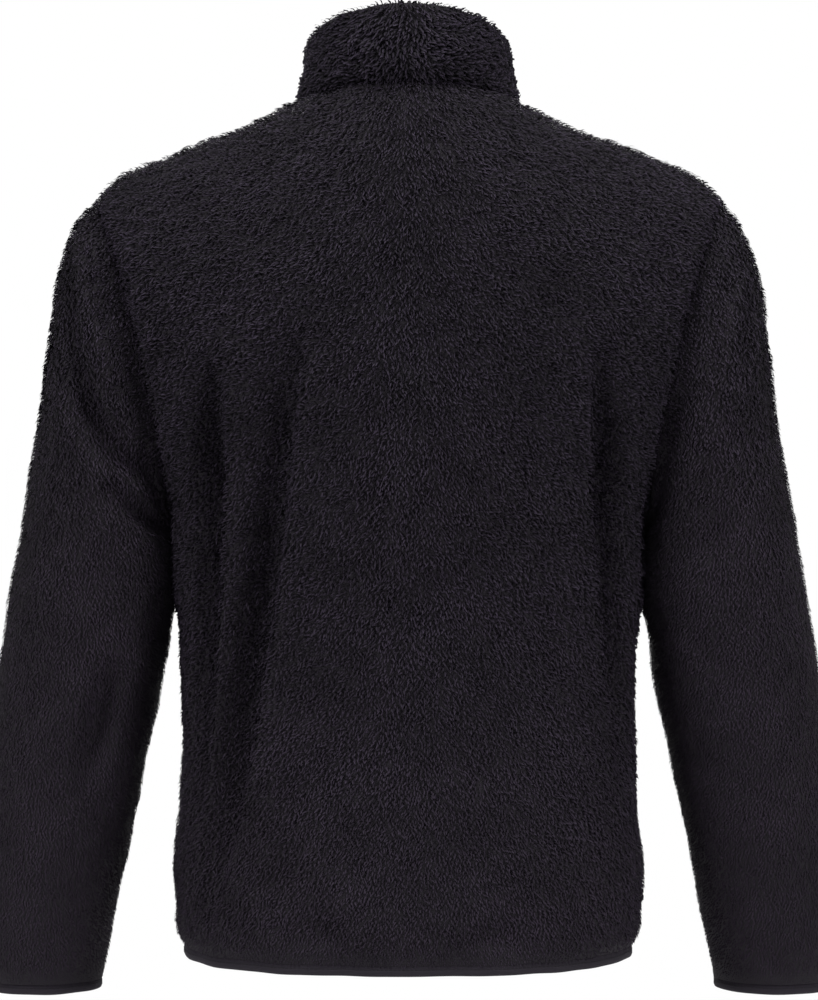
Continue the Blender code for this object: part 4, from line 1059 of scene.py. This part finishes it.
def pile_tree():
    """Scatters locks over a surface, combed along its nap, with swirls that part the pile."""
    tree, given, result, put = new_tree(
        "Lay the pile",
        {
            "Locks": "NodeSocketCollection",
            "Kinds of lock": "NodeSocketInt",
            "Least spacing": "NodeSocketFloat",
            "Density": "NodeSocketFloat",
            "Swirl": "NodeSocketFloat",
            "Swirl scale": "NodeSocketFloat",
            "Material": "NodeSocketMaterial",
            "Seed": "NodeSocketInt",
        },
    )
    scatter = put(
        "GeometryNodeDistributePointsOnFaces",
        {
            "Mesh": given["Geometry"],
            "Distance Min": given["Least spacing"],
            "Density Max": given["Density"],
            "Seed": given["Seed"],
        },
        distribute_method="POISSON",
    )
    nap = put("GeometryNodeInputNamedAttribute", {"Name": "nap"}, data_type="FLOAT_VECTOR")
    calm = put("GeometryNodeInputNamedAttribute", {"Name": "calm"}, data_type="FLOAT")
    reach = put("GeometryNodeInputNamedAttribute", {"Name": "reach"}, data_type="FLOAT")
    laid = put(
        "FunctionNodeAxesToRotation",
        {"Primary Axis": scatter.outputs["Normal"], "Secondary Axis": nap},
        primary_axis="Z",
        secondary_axis="Y",
    )
    where = put("GeometryNodeInputPosition").outputs["Position"]
    swirl = put(
        "ShaderNodeTexNoise",
        {"Vector": where, "Scale": given["Swirl scale"], "Detail": 1.0, "Roughness": 0.5},
    )
    part = put(
        "ShaderNodeMapRange",
        {"Value": swirl, "From Min": 0.25, "From Max": 0.75, "To Min": -1.0, "To Max": 1.0},
    )
    yaw = put("ShaderNodeMath", {0: part, 1: given["Swirl"]}, operation="MULTIPLY")
    stray = put(
        "FunctionNodeRandomValue",
        {"Min": tuple(-turn for turn in STRAY), "Max": STRAY, "Seed": given["Seed"]},
        data_type="FLOAT_VECTOR",
    )
    turned = put("ShaderNodeCombineXYZ", {"Z": yaw})
    both = put("ShaderNodeVectorMath", {0: turned, 1: stray.outputs["Value"]}, operation="ADD")
    steadied = put("ShaderNodeMapRange", {"Value": calm, "To Min": 1.0, "To Max": CALM_STRAY})
    leaning = put("ShaderNodeVectorMath", {0: both, "Scale": steadied}, operation="SCALE")
    lean = put("FunctionNodeEulerToRotation", {"Euler": leaning})
    rotation = put(
        "FunctionNodeRotateRotation",
        {"Rotation": laid, "Rotate By": lean},
        rotation_space="LOCAL",
    )
    vary = put(
        "FunctionNodeRandomValue",
        {"Min": LEAST_LOCK, "Max": LARGEST_LOCK, "Seed": given["Seed"]},
        data_type="FLOAT_VECTOR",
    )
    # Clumps of pile stand higher than what is between them, and calm pile lies low.
    clump = put("ShaderNodeTexNoise", {"Vector": where, "Scale": CLUMP_SCALE, "Detail": 1.0})
    clump_lift = put(
        "ShaderNodeMapRange",
        {
            "Value": clump,
            "From Min": 0.3,
            "From Max": 0.7,
            "To Min": LEAST_CLUMP,
            "To Max": LARGEST_CLUMP,
        },
    )
    lift = put("ShaderNodeMix", {"Factor": calm, 2: clump_lift, 3: 1.0}, data_type="FLOAT")
    stretch = put("ShaderNodeCombineXYZ", {"X": 1.0, "Y": 1.0, "Z": lift})
    sized = put("ShaderNodeVectorMath", {0: vary.outputs["Value"], 1: stretch}, operation="MULTIPLY")
    scale = put("ShaderNodeVectorMath", {0: sized, "Scale": reach}, operation="SCALE")
    locks = put("GeometryNodeCollectionInfo", {"Collection": given["Locks"], "Separate Children": True})
    last_kind = put("ShaderNodeMath", {0: given["Kinds of lock"], 1: 1.0}, operation="SUBTRACT")
    kind = put(
        "FunctionNodeRandomValue",
        {"Min": 0, "Max": last_kind, "Seed": given["Seed"]},
        data_type="INT",
    )
    placed = put(
        "GeometryNodeInstanceOnPoints",
        {
            "Points": scatter,
            "Instance": locks,
            "Pick Instance": True,
            "Instance Index": kind.outputs["Value"],
            "Rotation": rotation,
            "Scale": scale,
        },
    )
    tone = put(
        "FunctionNodeRandomValue",
        {"Min": 0.0, "Max": 1.0, "Seed": given["Seed"]},
        data_type="FLOAT",
    )
    toned = put(
        "GeometryNodeStoreNamedAttribute",
        {"Geometry": placed, "Name": "tone", "Value": tone.outputs["Value"]},
        data_type="FLOAT",
        domain="INSTANCE",
    )
    real = put("GeometryNodeRealizeInstances", {"Geometry": toned})
    finished = put("GeometryNodeSetMaterial", {"Geometry": real, "Material": given["Material"]})
    tree.links.new(finished.outputs["Geometry"], result["Geometry"])
    return tree


def row_tree():
    """Sets one shape at an even spacing along a line, with its Y along the line and its Z out."""
    tree, given, result, put = new_tree(
        "Set along the line",
        {"Shape": "NodeSocketObject", "Spacing": "NodeSocketFloat", "Material": "NodeSocketMaterial"},
    )
    line = put("GeometryNodeMeshToCurve", {"Mesh": given["Geometry"]})
    points = put("GeometryNodeCurveToPoints", {"Curve": line, "Length": given["Spacing"]}, mode="LENGTH")
    out = put("GeometryNodeInputNamedAttribute", {"Name": "out"}, data_type="FLOAT_VECTOR")
    turned = put(
        "FunctionNodeAxesToRotation",
        {"Primary Axis": points.outputs["Tangent"], "Secondary Axis": out},
        primary_axis="Y",
        secondary_axis="Z",
    )
    shape = put("GeometryNodeObjectInfo", {"Object": given["Shape"], "As Instance": True})
    placed = put(
        "GeometryNodeInstanceOnPoints",
        {"Points": points, "Instance": shape.outputs["Geometry"], "Rotation": turned},
    )
    real = put("GeometryNodeRealizeInstances", {"Geometry": placed})
    finished = put("GeometryNodeSetMaterial", {"Geometry": real, "Material": given["Material"]})
    tree.links.new(finished.outputs["Geometry"], result["Geometry"])
    return tree


def grown(obj, tree, settings):
    """Runs a Geometry Nodes tree on an object with named settings, and keeps the plain mesh."""
    modifier = obj.modifiers.new(tree.name, "NODES")
    modifier.node_group = tree
    sockets = {item.name: item.identifier for item in tree.interface.items_tree if item.in_out == "INPUT"}
    for label, value in settings.items():
        modifier[sockets[label]] = value
    bpy.context.view_layer.update()
    graph = bpy.context.evaluated_depsgraph_get()
    mesh = bpy.data.meshes.new_from_object(obj.evaluated_get(graph))
    mesh.name = obj.name
    obj.modifiers.remove(modifier)
    old = obj.data
    obj.data = mesh
    bpy.data.meshes.remove(old)
    return obj


def dressed(obj, slot, *nodes, body="garment"):
    """Puts a piece on its body and lets it stand for CAD nodes, which it hides."""
    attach(obj, body)
    if nodes:
        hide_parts(*nodes)
    return obj


def collar_sheet(rows, normals, walls):
    """The doubled collar's face: up its outside, round the rim and down its inside."""
    depth = (walls - COLLAR_CORE) / 2
    outside = rows - normals * depth[:, None, None]
    inside = rows - normals * (walls - depth)[:, None, None]
    up = unit(outside[-1] - outside[-2])
    middle = (outside[-1] + inside[-1]) / 2
    half = (outside[-1] - inside[-1]) / 2
    rim = [
        middle + half * math.cos(turn) + up * COLLAR_RIM_ROUND * math.sin(turn)
        for turn in math.pi * np.arange(1, RIM_ROWS + 1) / (RIM_ROWS + 1)
    ]
    return np.concatenate([outside, rim, inside[::-1]])


def loft(name, sections, closed, material):
    """A solid through sections with the same corners, which run from its face round to its back."""
    sections = np.asarray(sections)
    count, corners = sections.shape[:2]
    faces = []
    for i in range(count if closed else count - 1):
        for j in range(corners):
            k, n = (j + 1) % corners, (i + 1) % count
            faces.append((i * corners + j, i * corners + k, n * corners + k, n * corners + j))
    if not closed:
        faces.append(tuple(range(corners))[::-1])
        faces.append(tuple((count - 1) * corners + j for j in range(corners)))
    across = np.stack([distances(section) for section in sections])
    up = np.stack([distances(sections[:, j]) for j in range(corners)], axis=1)
    places = np.stack([across, up], axis=2).reshape(-1, 2)
    obj = new_piece(name, sections.reshape(-1, 3), faces, material, places)
    face_outwards(obj.data)
    return obj


def guide_line(name, points, out, closed):
    """A bare line that carries the way out from the garment at each point."""
    mesh = bpy.data.meshes.new(name)
    edges = [(k, k + 1) for k in range(len(points) - 1)]
    if closed:
        edges.append((len(points) - 1, 0))
    mesh.from_pydata(np.asarray(points).tolist(), edges, [])
    mesh.attributes.new("out", "FLOAT_VECTOR", "POINT").data.foreach_set("vector", out.reshape(-1))
    return in_scene(name, mesh)


def bars_shape(name, bars):
    """A small shape of rounded bars: each from its first end to its second, with its thickness."""
    points, faces = [], []
    for bar in bars:
        first, last = np.array(bar.start), np.array(bar.end)
        way = unit((last - first)[None])[0]
        side = unit(np.cross(way, (0, 0, 1))[None])[0]
        start = len(points)
        for share, size in BAR_RINGS:
            centre = first + (last - first) * share
            for k in range(BAR_SIDES):
                turn = math.tau * k / BAR_SIDES
                corner = side * math.cos(turn) * bar.width / 2
                rise = np.array([0, 0, math.sin(turn) * bar.height / 2])
                points.append(centre + (corner + rise) * size)
        for ring in range(start, len(points) - BAR_SIDES, BAR_SIDES):
            for k in range(BAR_SIDES):
                a, b = ring + k, ring + (k + 1) % BAR_SIDES
                faces.append((a, b, b + BAR_SIDES, a + BAR_SIDES))
        faces.append(tuple(range(start, start + BAR_SIDES))[::-1])
        faces.append(tuple(range(len(points) - BAR_SIDES, len(points))))
    mesh = bpy.data.meshes.new(name)
    mesh.from_pydata([tuple(p) for p in points], [], faces)
    face_outwards(mesh)
    mesh.shade_smooth()
    return in_scene(name, mesh)


def bound_edge(name, edge, outward, down, closed, knit, tree, stitch):
    """A knit strip folded over a panel's edge, with the row of stitches that holds it."""
    lines = [edge - outward * inward * MM + down * drop * MM for inward, drop in BINDING_SECTION]
    strip = loft(name + "_strip", np.stack(lines, axis=1), closed, knit)
    inward, drop = STITCH_PLACE
    row = guide_line(name + "_stitches", edge - outward * inward * MM + down * drop * MM, outward, closed)
    grown(row, tree, {"Shape": stitch, "Spacing": STITCH_PITCH, "Material": knit})
    dressed(strip, "stretch_binding", name)
    dressed(row, "stretch_binding")
    return strip, row


def front_line(inner, collar_inner, normals, collar_normals):
    """The left front edge from hem to collar rim: inside points, the next ones, and the way out."""
    points = np.concatenate([inner[:, 0], collar_inner[1:, 0]])
    beside = np.concatenate([inner[:, 1], collar_inner[1:, 1]])
    out = np.concatenate([normals[:, 0], collar_normals[1:, 0]]) * (0, 1, 1)
    out = unit(out)
    # The tapes reach down behind the hem's binding.
    down = np.array([0, 0, -TAPE_BELOW_HEM])
    points = np.concatenate([[points[0] + down], points])
    beside = np.concatenate([[beside[0] + down], beside])
    return points, beside, np.concatenate([[out[0]], out])


def zip_tape(name, line, side, material):
    """A woven tape behind the front edge, with a raised rib where it carries the coil."""
    points, beside, out = line
    front = []
    for x, rise in zip(TAPE_EDGES_X, TAPE_RISES):
        share = max(0.0, x - FRONT_EDGE_X) / (beside[:, 0] - points[:, 0])
        place = points + (beside - points) * share[:, None]
        place[:, 0] = x
        front.append(place - out * (FIT_GAP - rise))
    front = np.stack(front, axis=1)
    back = front - out[:, None] * TAPE_THICKNESS
    if side < 0:
        front, back = mirrored(front), mirrored(back)
    sections = [[*row_front, *row_back[::-1]] for row_front, row_back in zip(front, back)]
    return dressed(loft(name + "_cloth", sections, False, material), "zip_tape", name)


def softened(node, name, width, material, body="garment"):
    """A hard CAD piece with its edges rounded, in place of the plain one."""
    obj = frame["nodes"][node].copy()
    obj.data = obj.data.copy()
    obj.name = name
    obj.data.name = name
    bpy.context.scene.collection.objects.link(obj)
    work = bmesh.new()
    work.from_mesh(obj.data)
    bmesh.ops.remove_doubles(work, verts=work.verts, dist=WELD_WITHIN)
    flat = math.radians(FLAT_DEGREES)
    bmesh.ops.dissolve_limit(work, angle_limit=flat, verts=work.verts, edges=work.edges)
    work.to_mesh(obj.data)
    work.free()
    obj.data.materials.clear()
    obj.data.materials.append(material)
    bevel = obj.modifiers.new("Rounded edges", "BEVEL")
    bevel.width = width
    bevel.segments = EDGE_STEPS
    bevel.limit_method = "ANGLE"
    bevel.angle_limit = math.radians(EDGE_DEGREES)
    obj.data.shade_smooth()
    return dressed(obj, frame_slot(node), node, body=body)


def frame_slot(node):
    """The finish that the record gives a CAD node."""
    return next(row["material_slot"] for row in frame["record"]["subparts"] if row["node"] == node)


def zip_and_tapes(line, tree):
    points, _, out = line
    middle = points * (0, 1, 1) - out * FIT_GAP
    woven = tape_material()
    tapes = [zip_tape("zip_tape_left", line, 1, woven), zip_tape("zip_tape_right", line, -1, woven)]

    # The coil's turns lie on the tapes from the box to the slider
    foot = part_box("zip_box")[1][2] + COIL_END_GAP
    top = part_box("zip_slider")[0][2] - COIL_END_GAP
    inside = (middle[:, 2] > foot) & (middle[:, 2] < top)
    ends = [[np.interp(z, middle[:, 2], middle[:, k]) for k in range(3)] for z in (foot, top)]
    coil_line = np.concatenate([[ends[0]], middle[inside], [ends[1]]])
    coil_out = np.concatenate([[out[inside][0]], out[inside], [out[inside][-1]]])
    coil = guide_line("zip_coil_turns", coil_line + coil_out * COIL_LIFT, coil_out, False)
    turn = bars_shape("coil_turn", COIL_BARS)
    nylon = moulded_material("drawn nylon coil", "#08080a", "#151517", roughness=0.35, grain=0.004)
    grown(coil, tree, {"Shape": turn, "Spacing": COIL_PITCH, "Material": nylon})
    dressed(coil, "zip_coil", "zip_chain")

    # The hard pieces
    zinc = moulded_material(
        "die-cast zinc, painted black", "#101012", "#1c1c1f", roughness=0.50, grain=0.003
    )
    moulded = moulded_material("moulded nylon", "#0b0b0d", "#1a1a1c", roughness=0.42, grain=0.002)
    softened("zip_slider", "zip_slider_cast", METAL_EDGE, zinc)
    softened("zip_pull", "zip_pull_tab", METAL_EDGE, zinc, body="pull")
    softened("zip_box", "zip_box_moulded", NYLON_EDGE, moulded)
    return tapes


def camera_and_lights():
    lens = bpy.data.cameras.new("camera")
    lens.lens = LENS_MM
    lens.sensor_width = SENSOR_MM
    camera = in_scene("camera", lens)
    camera.location = CAMERA_PLACE
    camera.rotation_euler = (math.radians(90), 0, math.radians(180))
    bpy.context.scene.camera = camera

    # The backdrop is white to the eye, and gives the jacket only a soft fill
    world = bpy.data.worlds.new("pale studio")
    world.use_nodes = True
    tree = world.node_tree
    seen = add(tree, "ShaderNodeLightPath").outputs["Is Camera Ray"]
    strength = add(tree, "ShaderNodeMapRange", {"Value": seen, "To Min": FILL_STRENGTH, "To Max": 1.0})
    background = tree.nodes["Background"]
    background.inputs["Color"].default_value = (1, 1, 1, 1)
    tree.links.new(strength.outputs["Result"], background.inputs["Strength"])
    bpy.context.scene.world = world
    bpy.context.scene.view_settings.view_transform = "Standard"

    for row in SOFTBOXES:
        lamp = bpy.data.lights.new(row.name, "AREA")
        lamp.size = row.size
        lamp.energy = row.watts
        light = in_scene(row.name, lamp)
        light.location = row.place
        aim = Vector(row.target) - Vector(row.place)
        light.rotation_euler = aim.to_track_quat("-Z", "Y").to_euler()

    # The floor's far edge stays below the picture, as in a photo cut out on white
    bpy.ops.mesh.primitive_circle_add(
        vertices=96, radius=FLOOR_RADIUS, fill_type="NGON", location=(0, 0, FLOOR_Z)
    )
    floor = bpy.context.object
    floor.name = "studio_floor"
    material, put = new_material("matt white floor")
    shader = put("ShaderNodeBsdfPrincipled", {"Base Color": linear("#f4f4f4"), "Roughness": 0.9})
    put("ShaderNodeOutputMaterial", {"Surface": shader})
    floor.data.materials.append(material)


def dress_jacket():
    half_back, front_left = half_panel(back=True), half_panel(back=False)
    back = np.concatenate([half_back[:, ::-1], mirrored(half_back[:, ::-1])[:, 1:]], axis=1)
    sleeve_left = sleeve_grid(front_left, back)
    collar, collar_walls = collar_grid(front_left, back)
    grids = {
        "back": back,
        "front_left": front_left,
        "front_right": mirrored(front_left),
        "sleeve_left": sleeve_left,
        "sleeve_right": mirrored(sleeve_left),
        "collar": collar,
    }
    closed = {name: name.startswith("sleeve") for name in grids}
    grids = folded(grids, closed)
    normals = shared_normals(grids, closed)

    pile = pile_material()
    # In each knit the first colour is painted shade in the hollows between loops, the second the raised
    # loops' colour
    reverse = knit_material("knitted polyester reverse", REVERSE_LOOP, "#100d12", "#1e1a21")
    ribbed = knit_material("ribbed stretch knit", RIBBED_LOOP, "#120f15", "#2a252e")
    body_locks = lock_collection("body locks", BODY_LOCKS)
    collar_locks = lock_collection("collar locks", COLLAR_LOCKS)
    pile_nodes, row_nodes = pile_tree(), row_tree()
    sheets, with_pieces = {}, {}
    for seed, (name, grid) in enumerate(grids.items(), 1):
        if name == "collar":
            face = collar_sheet(grid, normals[name], collar_walls)
            out = shared_normals({name: face}, closed)[name]
            outer, inner = face, face - out * COLLAR_GROUND
            locks, spacing, swirl = collar_locks, COLLAR_LOCK_SPACING, COLLAR_SWIRL
        else:
            calm = calmness(name, grid)[..., None]
            face = grid - normals[name] * (PILE_DEPTH + (CALM_PILE_DEPTH - PILE_DEPTH) * calm)
            outer = grid - normals[name] * (GROUND_DEPTH + (CALM_GROUND_DEPTH - GROUND_DEPTH) * calm)
            inner = grid - normals[name] * FLEECE_THICKNESS
            out = normals[name]
            locks, spacing, swirl = body_locks, BODY_LOCK_SPACING, BODY_SWIRL
        nap, calm, reach = nap_directions(name, face, out), calmness(name, face), reach_of(name, face)
        tufts = grown(
            pile_guide(name + "_pile", face, nap, calm, reach, closed[name]),
            pile_nodes,
            {
                "Locks": locks,
                "Kinds of lock": len(locks.objects),
                "Least spacing": spacing,
                "Density": PILE_DENSITY,
                "Swirl": swirl,
                "Swirl scale": SWIRL_SCALE,
                "Material": pile,
                "Seed": seed,
            },
        )
        inset = seam_inset(face, out, closed[name])
        cloth = ground_cloth(name + "_ground", outer + inset, inner + inset, closed[name], reverse)
        dressed(tufts, "pile_fleece")
        dressed(cloth, "pile_fleece", name)
        sheets[name] = cloth, cut_of(outer, closed[name])
        with_pieces[name] = [tufts]

    # The hem's binding runs from one front edge round the back to the other
    stitch = bars_shape("stitch", STITCH_BARS)
    hem, out = (
        np.concatenate([part["front_left"][0], part["back"][0, 1:], part["front_right"][0, 1:]])
        for part in (grids, normals)
    )
    down = np.tile([0, 0, -1.0], (len(hem), 1))
    out = unit(out * (1, 1, 0))
    with_pieces["back"] += bound_edge("hem_binding", hem, out, down, False, ribbed, row_nodes, stitch)
    for name in ("sleeve_left", "sleeve_right"):
        cuff, out = grids[name][-1], normals[name][-1]
        spokes = cuff - cuff.mean(axis=0)
        around = np.roll(cuff, -1, axis=0) - np.roll(cuff, 1, axis=0)
        low = np.cross(spokes, around).sum(axis=0)
        low *= -np.sign(low[2]) / np.linalg.norm(low)
        out = unit(out - np.outer(out @ low, low))
        piece = name.replace("sleeve", "cuff_binding")
        down = np.tile(low, (len(cuff), 1))
        with_pieces[name] += bound_edge(piece, cuff, out, down, True, ribbed, row_nodes, stitch)

    inner_front = grids["front_left"] - normals["front_left"] * FLEECE_THICKNESS
    inner_collar = grids["collar"] - normals["collar"] * collar_walls[:, None, None]
    line = front_line(inner_front, inner_collar, normals["front_left"], normals["collar"])
    for name, tape in zip(("front_left", "front_right"), zip_and_tapes(line, row_nodes)):
        with_pieces[name].append(tape)

    for template in [*body_locks.objects, *collar_locks.objects, stitch, bpy.data.objects["coil_turn"]]:
        bpy.data.objects.remove(template)


camera_and_lights()
dress_jacket()
